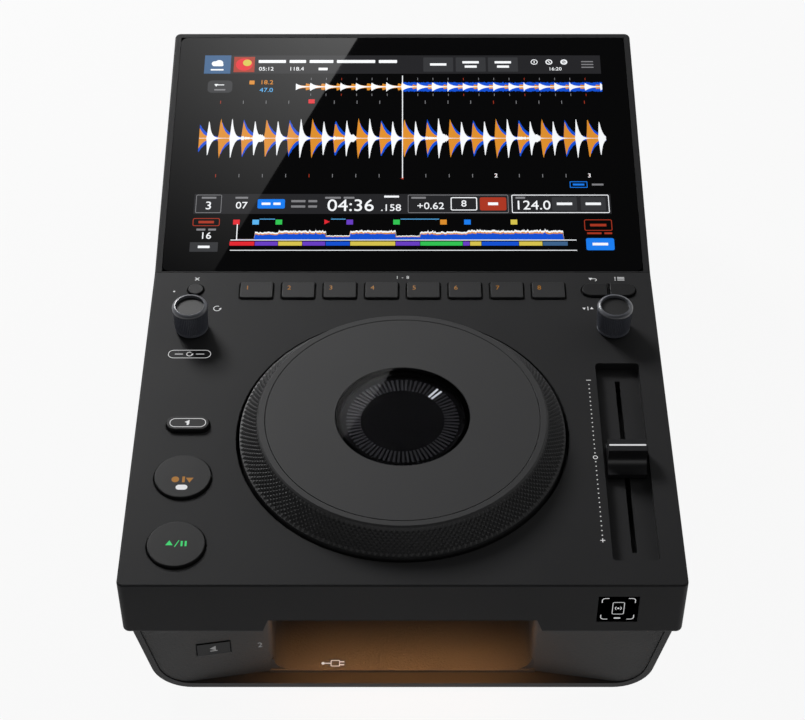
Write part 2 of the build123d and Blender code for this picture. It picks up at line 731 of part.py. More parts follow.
def light_bar():
    """The strip of amber light in the shelf's ceiling."""
    return upright(0, light_y, LIGHT_LENGTH - 2 * SEAM, LIGHT_WIDTH - 2 * SEAM, shelf_ceiling, shelf_top)


def rear_panel():
    """The plate at the back of the base, with its socket openings."""
    panel = from_front(base_section(BASE_WALL + SEAM, seam_z), panel_front, base_back)
    low = panel_front - CUT
    high = base_back + CUT
    holes = [rod_y(x, socket_z, low, high, RCA_COLLAR_RADIUS + SEAM) for x in rca_places()]
    for x, z, wide, tall, gap in (
        (LAN_X, lan_z, LAN_WIDTH, LAN_HEIGHT, SEAM),
        (USB_B_X, usb_b_z, USB_B_WIDTH, USB_B_HEIGHT, SEAM),
        (INLET_X, socket_z, INLET_WIDTH, INLET_HEIGHT, SEAM),
        (POWER_X, socket_z, POWER_WIDTH, POWER_HEIGHT, BUTTON_GAP),
    ):
        holes.append(facing(x, z, wide + 2 * gap, tall + 2 * gap, low, high))
    return panel - holes


def rubber_feet():
    """Four round feet, each set in a shallow recess."""
    return [rod(x, y, 0, FOOT_HEIGHT + FOOT_RECESS, FOOT_RADIUS) for x, y in foot_places()]


def case_screws():
    """The six screws that go up through the base's posts into the upper case."""
    screws = []
    for x, y in SCREW_PLACES:
        head = rod(x, y, screw_seat - SCREW_HEAD_HEIGHT, screw_seat, SCREW_HEAD_RADIUS)
        screws.append(head + rod(x, y, screw_seat, joint_z + SCREW_HOLD, SCREW_RADIUS))
    return screws


# ---- Touch screen ----
def touch_glass():
    """The cover glass, flush with its bezel."""
    wide = 2 * (glass_half - SEAM)
    long = glass_end - BEZEL_FRONT - 2 * SEAM
    sheet = RectangleRounded(wide, long, GLASS_CORNER_RADIUS)
    return SCREEN_PLANE * raised(sheet, 0, (BEZEL_FRONT + glass_end) / 2, -GLASS_THICKNESS, 0)


def lcd_module():
    """The display panel, bonded to the back of the glass."""
    half = glass_half - LCD_SIDE_MARGIN
    near = BEZEL_FRONT + LCD_END_MARGIN
    return SCREEN_PLANE * block(-half, half, near, glass_end - LCD_END_MARGIN, lcd_under, -GLASS_THICKNESS)


def lcd_bracket():
    """The steel tray behind the display, hung from the ledge under the glass by its side rails."""
    half = inner_half - BRACKET_GAP
    near = BEZEL_FRONT + LCD_END_MARGIN
    far = glass_end - LCD_END_MARGIN
    tray = block(-half, half, near, far, lcd_under - BRACKET_THICKNESS, lcd_under)
    for side in (-1, 1):
        ends = sorted((side * half, side * (half - BRACKET_RAIL)))
        tray += block(*ends, near, far, lcd_under, ledge_under)
    return SCREEN_PLANE * tray


# ---- Jog wheel ----
def jog_base():
    """The dish under the jog wheel, hung from the deck, with the post that carries the bearing."""
    wall = dish_radius + DISH_WALL
    shoulder = BEARING_BORE_RADIUS + POST_SHOULDER
    return turned(
        0,
        jog_y,
        (POST_BORE_RADIUS, dish_bottom),
        (wall, dish_bottom),
        (wall, deck_under - DISH_FLANGE_THICKNESS),
        (wall + DISH_FLANGE, deck_under - DISH_FLANGE_THICKNESS),
        (wall + DISH_FLANGE, deck_under),
        (dish_radius, deck_under),
        (dish_radius, dish_floor),
        (shoulder, dish_floor),
        (shoulder, bearing_bottom),
        (BEARING_BORE_RADIUS - FIT, bearing_bottom),
        (BEARING_BORE_RADIUS - FIT, bearing_top),
        (POST_BORE_RADIUS, bearing_top),
    )


def bearing_races():
    """The bearing's inner and outer race."""
    inner = rod(0, jog_y, bearing_bottom, bearing_top, BEARING_BORE_RADIUS + RACE_THICKNESS)
    inner -= rod(0, jog_y, bearing_bottom - CUT, bearing_top + CUT, BEARING_BORE_RADIUS)
    outer = rod(0, jog_y, bearing_bottom, bearing_top, BEARING_OUTER_RADIUS)
    outer -= rod(0, jog_y, bearing_bottom - CUT, bearing_top + CUT, BEARING_OUTER_RADIUS - RACE_THICKNESS)
    return inner, outer


def bearing_balls():
    """The balls between the races."""
    inner = BEARING_BORE_RADIUS + RACE_THICKNESS
    outer = BEARING_OUTER_RADIUS - RACE_THICKNESS
    radius = (outer - inner) / 2 - RUNNING
    places = PolarLocations((inner + outer) / 2, BALL_COUNT)
    return [Pos(0, jog_y, (bearing_bottom + bearing_top) / 2) * place * Sphere(radius) for place in places]


def jog_hub():
    """The disc and sleeve that turn on the bearing and carry the ring."""
    bore = BEARING_OUTER_RADIUS + FIT
    lip = BEARING_OUTER_RADIUS - RACE_THICKNESS - HUB_LIP
    flange_top = disc_top + DISC_THICKNESS + DISC_THICKNESS
    return turned(
        0,
        jog_y,
        (lip, ring_bottom),
        (hub_radius, ring_bottom),
        (hub_radius, bearing_top),
        (sleeve_radius, bearing_top),
        (sleeve_radius, flange_top),
        (sleeve_radius + DISC_FLANGE, flange_top),
        (sleeve_radius + DISC_FLANGE, disc_top),
        (sleeve_radius, disc_top),
        (sleeve_radius, sleeve_bottom),
        (bore, sleeve_bottom),
        (bore, bearing_top),
        (lip, bearing_top),
    )


def jog_ring():
    """The outer ring: an upright foot, a leaning flank for the fingers and a flat rim."""
    flank_low = deck_top + JOG_UPRIGHT
    flank_high = flank_low + JOG_FLANK_HEIGHT
    flank_in = JOG_RADIUS - JOG_FLANK_LEAN
    rim = flank_in - JOG_RIM_BEVEL
    seat = plate_radius + PLATE_GROOVE
    inside = JOG_RADIUS - RING_WALL
    return turned(
        0,
        jog_y,
        (JOG_RADIUS, ring_bottom),
        (JOG_RADIUS, flank_low),
        (flank_in, flank_high),
        (rim, jog_top),
        (seat, jog_top),
        (seat, plate_seat),
        (seat - RING_LIP, plate_seat),
        (seat - RING_LIP, plate_seat - RING_WALL),
        (rim - RING_WALL / 2, plate_seat - RING_WALL),
        (inside, flank_low - RING_WALL / 2),
        (inside, ring_bottom + RING_WALL),
        (inside - RING_FOOT, ring_bottom + RING_WALL),
        (inside - RING_FOOT, ring_bottom),
    )


def jog_plate():
    """The flat top plate, a wide ring that sits on the outer ring's lip."""
    collar = hole_in_plate + PLATE_COLLAR
    return turned(
        0,
        jog_y,
        (hole_in_plate, jog_top),
        (plate_radius, jog_top),
        (plate_radius, plate_seat),
        (collar, plate_seat),
        (collar, plate_seat - PLATE_COLLAR),
        (hole_in_plate, plate_seat - PLATE_COLLAR),
    )


def encoder_disc():
    """The slotted disc that the position sensor reads."""
    disc = rod(0, jog_y, disc_top - DISC_THICKNESS, disc_top, DISC_RADIUS)
    disc -= rod(0, jog_y, disc_top - DISC_THICKNESS - CUT, disc_top + CUT, sleeve_radius + FIT)
    slot = Box(DISC_SLOT_LENGTH, DISC_SLOT_WIDTH, 2 * (DISC_THICKNESS + CUT))
    around = PolarLocations(DISC_RADIUS - DISC_SLOT_INSET, SLOT_COUNT)
    return disc - [Pos(0, jog_y, disc_top) * place * slot for place in around]


def position_sensor():
    """A forked light sensor on the dish; the disc's edge runs in its slot."""
    near = DISC_RADIUS - SENSOR_REACH
    far = DISC_RADIUS + SENSOR_BACK
    middle = disc_top - DISC_THICKNESS / 2
    slot_low = middle - SENSOR_SLOT / 2
    slot_high = middle + SENSOR_SLOT / 2
    half = SENSOR_WIDTH / 2
    body = block(near, far, jog_y - half, jog_y + half, dish_floor, slot_high + SENSOR_JAW)
    slot_far = DISC_RADIUS + SENSOR_JAW
    return body - block(near - CUT, slot_far, jog_y - half - CUT, jog_y + half + CUT, slot_low, slot_high)


def display_cup():
    """The fixed cup on top of the post, which holds the small display and its window."""
    holder = WINDOW_RADIUS - CUP_WALL
    return turned(
        0,
        jog_y,
        (POST_BORE_RADIUS, bearing_top),
        (CUP_STEM_RADIUS, bearing_top),
        (CUP_STEM_RADIUS, cup_bottom),
        (WINDOW_RADIUS, cup_bottom),
        (WINDOW_RADIUS, cup_top),
        (holder, cup_top),
        (holder, display_bottom),
        (POST_BORE_RADIUS, display_bottom),
    )


def jog_display():
    """The small round display."""
    return rod(0, jog_y, display_bottom, display_top, WINDOW_RADIUS - CUP_WALL - FIT)


def jog_window():
    """The clear window over the display, level with the top plate."""
    return rod(0, jog_y, cup_top, jog_top, WINDOW_RADIUS)


# ---- Buttons ----
def pad_outline(gap):
    """A pad seen from above, or its hole when a gap is given."""
    return RectangleRounded(pad_width + 2 * gap, PAD_LENGTH + 2 * gap, PAD_RADIUS + gap)


def shift_outline(gap):
    """The long round-ended button, or its hole when a gap is given."""
    return SlotOverall(SHIFT_LENGTH + 2 * gap, SHIFT_WIDTH + 2 * gap)


def pair_outline(side, gap):
    """One half of a round-ended pair of buttons, or its hole when a gap is given."""
    whole = SlotOverall(PAIR_LENGTH + 2 * gap, PAIR_WIDTH + 2 * gap)
    near = PAIR_BAR / 2 - gap
    far = PAIR_LENGTH
    keep = Pos(side * (near + far) / 2, 0) * Rectangle(far - near, 2 * PAIR_WIDTH)
    return whole & keep


def pressed_button(face, flange, x, y, rise, travel, stem_x=0.0):
    """A button: its cap through the deck, a flange that holds it in, and a stem over its switch."""
    cap = raised(face, x, y, deck_under, deck_top + rise)
    cap = fillet(cap.edges().group_by(Axis.Z)[-1], CAP_EDGE)
    cap += raised(flange, x, y, deck_under - FLANGE_THICKNESS, deck_under)
    foot = board_top + SWITCH_HEIGHT + PLUNGER_HEIGHT + travel + SWITCH_SLACK
    return cap + rod(x + stem_x, y, foot, deck_under - FLANGE_THICKNESS, STEM_RADIUS)


def deck_buttons():
    """Every button of the deck, by name."""
    made = {}
    for name, (radius, x, y, rise, travel) in ROUND_BUTTONS.items():
        made[name] = pressed_button(Circle(radius), Circle(radius + FLANGE_LAP), x, y, rise, travel)
    shift = (-column_x, SHIFT_Y, SHIFT_RISE, SHIFT_TRAVEL)
    made["shift_button"] = pressed_button(shift_outline(0), shift_outline(FLANGE_LAP), *shift)
    for name, side in (("back_button", -1), ("tag_button", 1)):
        whole = SlotOverall(PAIR_LENGTH + 2 * FLANGE_LAP, PAIR_WIDTH + 2 * FLANGE_LAP)
        middle = side * (PAIR_LENGTH / 2 + PAIR_BAR / 4)
        flange = whole & (Pos(middle, 0) * Rectangle(PAIR_LENGTH, 2 * PAIR_WIDTH))
        button = (pair_x, pair_y, PAIR_RISE, PAIR_TRAVEL, side * PAIR_LENGTH / 4)
        made[name] = pressed_button(pair_outline(side, 0), flange, *button)
    for i, x in enumerate(PAD_X):
        button = (x, pad_y, PAD_RISE, PAD_TRAVEL)
        made[f"hot_cue_pad_{i + 1}"] = pressed_button(pad_outline(0), pad_outline(FLANGE_LAP), *button)
    return made


def switch_places():
    """Where the deck's switches stand on their boards."""
    places = [(x, y) for _radius, x, y, _rise, _travel in ROUND_BUTTONS.values()]
    places.append((-column_x, SHIFT_Y))
    places += [(pair_x + side * PAIR_LENGTH / 4, pair_y) for side in (-1, 1)]
    return places + [(x, pad_y) for x in PAD_X]


def board_edges():
    """The deck's three boards, each as its low and high X and Y."""
    out = inner_half - BOARD_EDGE / 2
    top = deck_depth - SHELL_WALL
    pads = pad_row_half + FLANGE_LAP + SEAM + 2 * SUPPORT_RADIUS
    near = pads + BUTTON_GAP
    return [
        (-out, -near, SHELL_WALL + BOARD_EDGE / 2, top),
        (near, out, knob_y - ENCODER_SIZE, top),
        (-pads, pads, pad_y - PAD_LENGTH / 2 - SEAM, top),
    ]


def board_supports():
    """Where posts come down from the deck to its boards."""
    places = []
    for x0, x1, y0, y1 in board_edges():
        for x in (x0 + SUPPORT_RADIUS, x1 - SUPPORT_RADIUS):
            places += [(x, y0 + SUPPORT_RADIUS), (x, y1 - SUPPORT_RADIUS)]
    return places


def button_boards():
    """The boards under the deck and the small one behind the fascia."""
    boards = [block(*edges, board_under, board_top) for edges in board_edges()]
    back = EJECT_BOARD_DROP + BOARD_THICKNESS
    eject = facing(0, 0, EJECT_BOARD_WIDTH, EJECT_BOARD_HEIGHT, EJECT_BOARD_DROP, back)
    return boards + [EJECT_PLANE * eject]


def tact_switches():
    """The switches that the buttons press."""
    switches = []
    top = board_top + SWITCH_HEIGHT
    for x, y in switch_places():
        body = upright(x, y, SWITCH_SIZE, SWITCH_SIZE, board_top, top)
        switches.append(body + rod(x, y, top, top + PLUNGER_HEIGHT, PLUNGER_RADIUS))
    face = EJECT_BOARD_DROP - SWITCH_HEIGHT
    body = facing(0, 0, SWITCH_SIZE, SWITCH_SIZE, face, EJECT_BOARD_DROP)
    body += rod_y(0, 0, face - PLUNGER_HEIGHT, face, PLUNGER_RADIUS)
    return switches + [EJECT_PLANE * body]


def eject_button():
    """The eject button: a cap through the fascia, a flange behind it and a stem over its switch."""
    back = FASCIA_THICKNESS
    lap = 2 * FLANGE_LAP
    cap = facing(0, 0, EJECT_WIDTH, EJECT_HEIGHT, -EJECT_RISE, back)
    cap += facing(0, 0, EJECT_WIDTH + lap, EJECT_HEIGHT + lap, back, back + EJECT_FLANGE)
    foot = EJECT_BOARD_DROP - SWITCH_HEIGHT - PLUNGER_HEIGHT - EJECT_TRAVEL - SWITCH_SLACK
    return EJECT_PLANE * (cap + rod_y(0, 0, back + EJECT_FLANGE, foot, STEM_RADIUS))


def power_button():
    """The push button at the back that switches the mains."""
    inner = panel_front - FLANGE_THICKNESS
    lap = 2 * FLANGE_LAP
    cap = facing(POWER_X, socket_z, POWER_WIDTH, POWER_HEIGHT, panel_front, base_back + POWER_RISE)
    cap += facing(POWER_X, socket_z, POWER_WIDTH + lap, POWER_HEIGHT + lap, inner, panel_front)
    return cap + rod_y(POWER_X, socket_z, inner - POWER_STEM_LENGTH, inner, STEM_RADIUS)


def indicator_led():
    """The light pipe of the small lamp beside the delete button."""
    x = -(half_width - LED_INSET_X)
    y = deck_depth - LED_INSET_Y
    return rod(x, y, board_top, deck_under, LED_PIPE_RADIUS) + rod(x, y, deck_under, deck_top, LED_RADIUS)


# ---- Push knobs ----
def encoder_heights():
    """The encoder's inner floor and ceiling, and the rotor's bottom and top."""
    floor = board_top + ENCODER_WALL
    ceiling = board_top + ENCODER_HEIGHT - ENCODER_WALL
    return floor, ceiling, floor + ROTOR_GAP, ceiling - ROTOR_GAP


def encoder_body(x):
    """An encoder's can, with the bushing that guides the shaft."""
    floor, ceiling, _low, _high = encoder_heights()
    body = upright(x, knob_y, ENCODER_SIZE, ENCODER_SIZE, board_top, board_top + ENCODER_HEIGHT)
    body -= rod(x, knob_y, floor, ceiling, ENCODER_SIZE / 2 - ENCODER_WALL)
    body += rod(x, knob_y, board_top + ENCODER_HEIGHT, deck_top - SEAM, BUSHING_RADIUS)
    return body - rod(x, knob_y, ceiling - CUT, deck_top + CUT, SHAFT_RADIUS + RUNNING)


def encoder_rotor(x):
    """The disc inside the encoder, which turns with the shaft and lets it slide."""
    _floor, _ceiling, low, high = encoder_heights()
    disc = rod(x, knob_y, low, high, ENCODER_SIZE / 2 - ENCODER_WALL - ROTOR_GAP)
    keyway = KEY_WIDTH + 2 * RUNNING
    return disc - upright(x, knob_y, keyway, keyway, low - CUT, high + CUT)


def encoder_shaft(x):
    """The shaft: round through the bushing and square where the rotor turns it."""
    _floor, _ceiling, low, high = encoder_heights()
    step = high + ROTOR_GAP + KNOB_TRAVEL
    key = upright(x, knob_y, KEY_WIDTH, KEY_WIDTH, low + KNOB_TRAVEL, step)
    return key + rod(x, knob_y, step, knob_top() - SHAFT_TOP_GAP - KNOB_DISH_DEPTH, SHAFT_RADIUS)


def knob_top():
    """The height of the knobs' rim."""
    return deck_top + KNOB_RISE + KNOB_HEIGHT


def push_knob(x):
    """A knob: a slightly tapered drum with a dished top, hollow round the bushing."""
    low = deck_top + KNOB_RISE
    high = knob_top()
    dish = high - KNOB_DISH_DEPTH
    bore = SHAFT_RADIUS + FIT
    hollow = low + KNOB_HOLLOW_DEPTH
    return turned(
        x,
        knob_y,
        (0, dish),
        (0, dish - SHAFT_TOP_GAP),
        (bore, dish - SHAFT_TOP_GAP),
        (bore, hollow),
        (KNOB_HOLLOW_RADIUS, hollow),
        (KNOB_HOLLOW_RADIUS, low),
        (KNOB_RADIUS, low),
        (KNOB_TOP_RADIUS, high - KNOB_RIM_CHAMFER),
        (KNOB_TOP_RADIUS - KNOB_RIM_CHAMFER, high),
        (KNOB_DISH_RADIUS, high),
        (KNOB_DISH_RADIUS, dish),
    )


# ---- Tempo fader ----
def well_outline(wall):
    """The fader's well seen from above, with a wall round it when one is given."""
    return RectangleRounded(WELL_WIDTH + 2 * wall, WELL_LENGTH + 2 * wall, WELL_CORNER_RADIUS + wall)


def fader_slit(width, low, high):
    """A slot along the fader's travel."""
    return upright(well_x, well_y, width, 2 * (FADER_TRAVEL + SLIT_SLACK) + LEVER_WIDTH, low, high)


def fader_tray():
    """The sunken well that the fader's cap runs in."""
    tray = raised(well_outline(TRAY_FLANGE), well_x, well_y, fader_body_top, deck_under)
    tray -= raised(well_outline(0), well_x, well_y, well_floor, deck_under + CUT)
    return tray - fader_slit(SLIT_WIDTH, fader_body_top - CUT, well_floor + CUT)


def fader_body():
    """The slide potentiometer's channel, under the tray."""
    wall = FADER_BODY_WALL
    low = fader_body_top - FADER_BODY_HEIGHT
    long = 2 * (FADER_TRAVEL + SLIT_SLACK) + CARRIAGE_LENGTH
    inside = FADER_BODY_WIDTH - 2 * wall
    body = upright(well_x, well_y, FADER_BODY_WIDTH, long + 2 * wall, low, fader_body_top)
    body -= upright(well_x, well_y, inside, long, low + wall, fader_body_top - wall)
    return body - fader_slit(SLIT_WIDTH, fader_body_top - wall - CUT, fader_body_top + CUT)


def fader_carriage():
    """The slider inside the channel and the lever that comes up through the slits."""
    low = fader_body_top - FADER_BODY_HEIGHT + FADER_BODY_WALL + CARRIAGE_GAP
    high = fader_body_top - FADER_BODY_WALL - CARRIAGE_GAP
    wide = FADER_BODY_WIDTH - 2 * (FADER_BODY_WALL + CARRIAGE_GAP)
    slider = upright(well_x, well_y, wide, CARRIAGE_LENGTH, low, high)
    return slider + lever(0, high, deck_top + CAP_RISE - CAP_GRIP)


def lever(gap, low, high):
    """The fader's flat lever, or its socket in the cap when a gap is given."""
    return upright(well_x, well_y, LEVER_THICKNESS + 2 * gap, LEVER_WIDTH + 2 * gap, low, high)


def fader_cap():
    """The cap: a ridge between two scoops for a fingertip, ending in low lips."""
    low = well_floor + CAP_FLOAT
    high = deck_top + CAP_RISE
    across = CAP_WIDTH + 2 * CUT
    lip = CAP_LIP + CUT
    scoop = (CAP_LENGTH - CAP_RIDGE) / 2 - CAP_LIP
    axis_z = high - CAP_RIDGE_SIDE
    cap = upright(well_x, well_y, CAP_WIDTH, CAP_LENGTH, low, high)
    for side in (-1, 1):
        axis_y = well_y + side * (CAP_LENGTH / 2 - CAP_LIP)
        cap -= Pos(well_x, axis_y, axis_z) * Rot(0, 90, 0) * Cylinder(scoop, across)
        cap -= upright(well_x, axis_y + side * lip / 2, across, lip, axis_z - scoop, high + CUT)
        cap -= upright(well_x, axis_y + side * (lip - scoop) / 2, across, lip + scoop, axis_z, high + CUT)
    return cap - lever(FIT, low - CUT, high - CAP_GRIP + SEAM)


# ---- Front window and sockets ----
def nfc_window():
    """The glossy window in the front face, with a flange behind the wall."""
    wide = NFC_WIDTH - 2 * SEAM
    tall = NFC_HEIGHT - 2 * SEAM
    lens = facing(nfc_x, nfc_z, wide, tall, NFC_RECESS, SHELL_WALL)
    back = SHELL_WALL + NFC_FLANGE_THICKNESS
    flange = facing(nfc_x, nfc_z, wide + 2 * NFC_FLANGE, tall + 2 * NFC_FLANGE, SHELL_WALL, back)
    return lens + (flange & block(0, half_width, 0, back, rim_top + SEAM, deck_under))


def usb_socket():
    """The USB-A socket in the back wall of the shelf."""
    wide = USB_WIDTH - 2 * USB_WALL
    end = shelf_back + USB_CAVITY_DEPTH
    shell = facing(USB_X, usb_z, USB_WIDTH, USB_HEIGHT, shelf_back, shelf_back + USB_DEPTH)
    shell -= facing(USB_X, usb_z, wide, USB_HEIGHT - 2 * USB_WALL, shelf_back - CUT, end)
    tongue_z = usb_z + USB_TONGUE / 2
    return shell + facing(USB_X, tongue_z, wide - 2 * USB_WALL, USB_TONGUE, shelf_back + CUT, end)


def rca_places():
    """Where the phono jacks are along the rear panel."""
    return [-(half_width - RCA_INSET_X) + i * RCA_PITCH for i in range(RCA_COUNT)]


def rca_jacks():
    """The phono jacks: a block on the main board, a collar through the panel and a sleeve on it."""
    jacks = []
    half = RCA_BODY / 2
    inner = panel_front - RCA_BODY_DEPTH
    seat = base_back + RCA_COLLAR_RISE
    tip = seat + RCA_SLEEVE_LENGTH
    for x in rca_places():
        jack = block(x - half, x + half, inner, panel_front, low_board_top, socket_z + half)
        jack += rod_y(x, socket_z, panel_front, seat, RCA_COLLAR_RADIUS)
        jack += rod_y(x, socket_z, seat, tip, RCA_SLEEVE_RADIUS)
        jacks.append(jack - rod_y(x, socket_z, panel_front, tip + CUT, RCA_HOLE_RADIUS))
    return jacks


def lan_socket():
    """The network socket, on the main board."""
    body = facing(LAN_X, lan_z, LAN_WIDTH, LAN_HEIGHT, base_back - LAN_DEPTH, base_back)
    inner = base_back - LAN_CAVITY_DEPTH
    return body - facing(LAN_X, lan_z, LAN_CAVITY_WIDTH, LAN_CAVITY_HEIGHT, inner, base_back + CUT)


def usb_b_socket():
    """The USB-B socket for a computer, on the main board."""
    wide = USB_B_WIDTH - 2 * USB_B_WALL
    tall = USB_B_HEIGHT - 2 * USB_B_WALL
    inner = base_back - USB_B_CAVITY_DEPTH
    body = facing(USB_B_X, usb_b_z, USB_B_WIDTH, USB_B_HEIGHT, base_back - USB_B_DEPTH, base_back)
    body -= facing(USB_B_X, usb_b_z, wide, tall, inner, base_back + CUT)
    return body + facing(USB_B_X, usb_b_z, USB_B_CORE_WIDTH, USB_B_CORE_HEIGHT, inner, base_back - CUT)


def ac_inlet():
    """The mains inlet: a flanged block with three flat pins in its mouth."""
    outer = base_back + INLET_FLANGE_THICKNESS
    lap = 2 * INLET_FLANGE
    body = facing(INLET_X, socket_z, INLET_WIDTH, INLET_HEIGHT, base_back - INLET_DEPTH, base_back)
    body += facing(INLET_X, socket_z, INLET_WIDTH + lap, INLET_HEIGHT + lap, base_back, outer)
    wide = INLET_WIDTH - 2 * INLET_WALL
    bottom = outer - INLET_CAVITY_DEPTH
    body -= facing(INLET_X, socket_z, wide, INLET_HEIGHT - 2 * INLET_WALL, bottom, outer + CUT)
    tip = bottom + INLET_PIN_LENGTH
    for step in (-1, 0, 1):
        x = INLET_X + step * INLET_PIN_PITCH
        z = socket_z + (INLET_PIN_HEIGHT / 2 if step == 0 else -INLET_PIN_HEIGHT / 2)
        body += facing(x, z, INLET_PIN_WIDTH, INLET_PIN_HEIGHT, bottom, tip)
    return body


# ---- Boards in the base ----
def low_board_edges():
    """The main board and the power supply board, each as its low and high X and Y."""
    end = panel_front - SEAM
    return [
        (-(half_width - MAIN_BOARD_LEFT_INSET), MAIN_BOARD_RIGHT_X, end - MAIN_BOARD_LENGTH, end),
        (SUPPLY_LEFT_X, SUPPLY_RIGHT_X, end - SUPPLY_LENGTH, end),
    ]


def standoff_places():
    """Where the base's standoffs carry its boards."""
    places = []
    for x0, x1, y0, y1 in low_board_edges():
        for x in (x0 + BOARD_EDGE, x1 - BOARD_EDGE):
            places += [(x, y0 + BOARD_EDGE), (x, y1 - BOARD_EDGE)]
    return places


def main_board():
    """The main board with its processor and a finned heat sink on it."""
    x0, x1, y0, y1 = low_board_edges()[0]
    board = block(x0, x1, y0, y1, low_board_under, low_board_top)
    x = (x0 + x1) / 2
    y = y0 + HEATSINK_SIZE
    chip_top = low_board_top + CHIP_HEIGHT
    chip = upright(x, y, CHIP_SIZE, CHIP_SIZE, low_board_top, chip_top)
    sink = upright(x, y, HEATSINK_SIZE, HEATSINK_SIZE, chip_top, chip_top + HEATSINK_BASE)
    pitch = (HEATSINK_SIZE - HEATSINK_FIN) / (HEATSINK_FINS - 1)
    for i in range(HEATSINK_FINS):
        fin_x = x + (i - (HEATSINK_FINS - 1) / 2) * pitch
        sink += upright(fin_x, y, HEATSINK_FIN, HEATSINK_SIZE, chip_top, chip_top + HEATSINK_HEIGHT)
    return [board, chip, sink]


def power_supply():
    """The power supply board with its transformer, capacitors and mains switch."""
    x0, x1, y0, y1 = low_board_edges()[1]
    board = block(x0, x1, y0, y1, low_board_under, low_board_top)
    x = (x0 + x1) / 2
    y = y0 + TRANSFORMER_SIZE
    top = low_board_top + TRANSFORMER_HEIGHT
    transformer = upright(x, y, TRANSFORMER_SIZE, TRANSFORMER_SIZE, low_board_top, top)
    can_y = y + TRANSFORMER_SIZE / 2 + 2 * CAPACITOR_RADIUS
    top = low_board_top + CAPACITOR_HEIGHT
    offset = CAPACITOR_RADIUS + SEAM
    cans = [rod(x + side * offset, can_y, low_board_top, top, CAPACITOR_RADIUS) for side in (-1, 1)]
    half = POWER_SWITCH_SIZE / 2
    face = panel_front - FLANGE_THICKNESS - POWER_STEM_LENGTH - POWER_TRAVEL - SWITCH_SLACK
    back = face - POWER_SWITCH_DEPTH
    switch = block(POWER_X - half, POWER_X + half, back, face, low_board_top, socket_z + half)
    return [board, transformer, *cans, switch]


# ---- The parts ----
def all_parts():
    """Every node with its solid or solids."""
    inner_race, outer_race = bearing_races()
    parts = {
        "deck_panel": deck_panel(),
        "screen_housing": screen_housing(),
        "base_shell": base_shell(),
        "front_fascia": front_fascia(),
        "light_bar": light_bar(),
        "rear_panel": rear_panel(),
        "rubber_feet": rubber_feet(),
        "case_screws": case_screws(),
        "touch_glass": touch_glass(),
        "lcd_module": lcd_module(),
        "lcd_bracket": lcd_bracket(),
        "jog_base": jog_base(),
        "bearing_inner_race": inner_race,
        "bearing_outer_race": [outer_race, *bearing_balls()],
        "jog_hub": jog_hub(),
        "jog_ring": jog_ring(),
        "jog_plate": jog_plate(),
        "encoder_disc": encoder_disc(),
        "position_sensor": position_sensor(),
        "display_cup": display_cup(),
        "jog_display": jog_display(),
        "jog_window": jog_window(),
        "button_boards": button_boards(),
        "tact_switches": tact_switches(),
        "indicator_led": indicator_led(),
        "eject_button": eject_button(),
        "power_button": power_button(),
        "encoder_bodies": [encoder_body(-knob_x), encoder_body(knob_x)],
        "fader_tray": fader_tray(),
        "fader_body": fader_body(),
        "fader_carriage": fader_carriage(),
        "fader_cap": fader_cap(),
        "nfc_window": nfc_window(),
        "usb_socket": usb_socket(),
        "rca_jacks": rca_jacks(),
        "lan_socket": lan_socket(),
        "usb_b_socket": usb_b_socket(),
        "ac_inlet": ac_inlet(),
        "main_board": main_board(),
        "power_supply": power_supply(),
    }
    for name, x in (("loop", -knob_x), ("browse", knob_x)):
        parts[f"{name}_rotor"] = encoder_rotor(x)
        parts[f"{name}_shaft"] = encoder_shaft(x)
        parts[f"{name}_knob"] = push_knob(x)
    parts.update(deck_buttons())
    return parts


def write_parts():
    """Writes each node's solids to its own file, with the origin in the middle of the footprint."""
    os.makedirs("parts", exist_ok=True)
    for name, made in all_parts().items():
        solids = [s for piece in (made if isinstance(made, list) else [made]) for s in piece.solids()]
        placed = [Pos(0, -depth / 2, 0) * solid for solid in solids]
        export_step(placed[0] if len(placed) == 1 else Compound(children=placed), f"parts/{name}.step")


write_parts()
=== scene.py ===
# %% [markdown]
# # A tabletop DJ player
# The player is a wedge of black plastic with a touch screen, a big jog wheel, two knobs, a fader and
# a lit shelf for a USB stick. Its solids come from the CAD part, which is loaded first and never moved.
# This lesson dresses it: finishes for every CAD piece, new meshes where a finger would feel more than
# the solid has, then the prints, the screen's picture, the lights and the camera.

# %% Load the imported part
import json
import math

import bmesh
import bpy
from mathutils import Matrix, Vector, noise

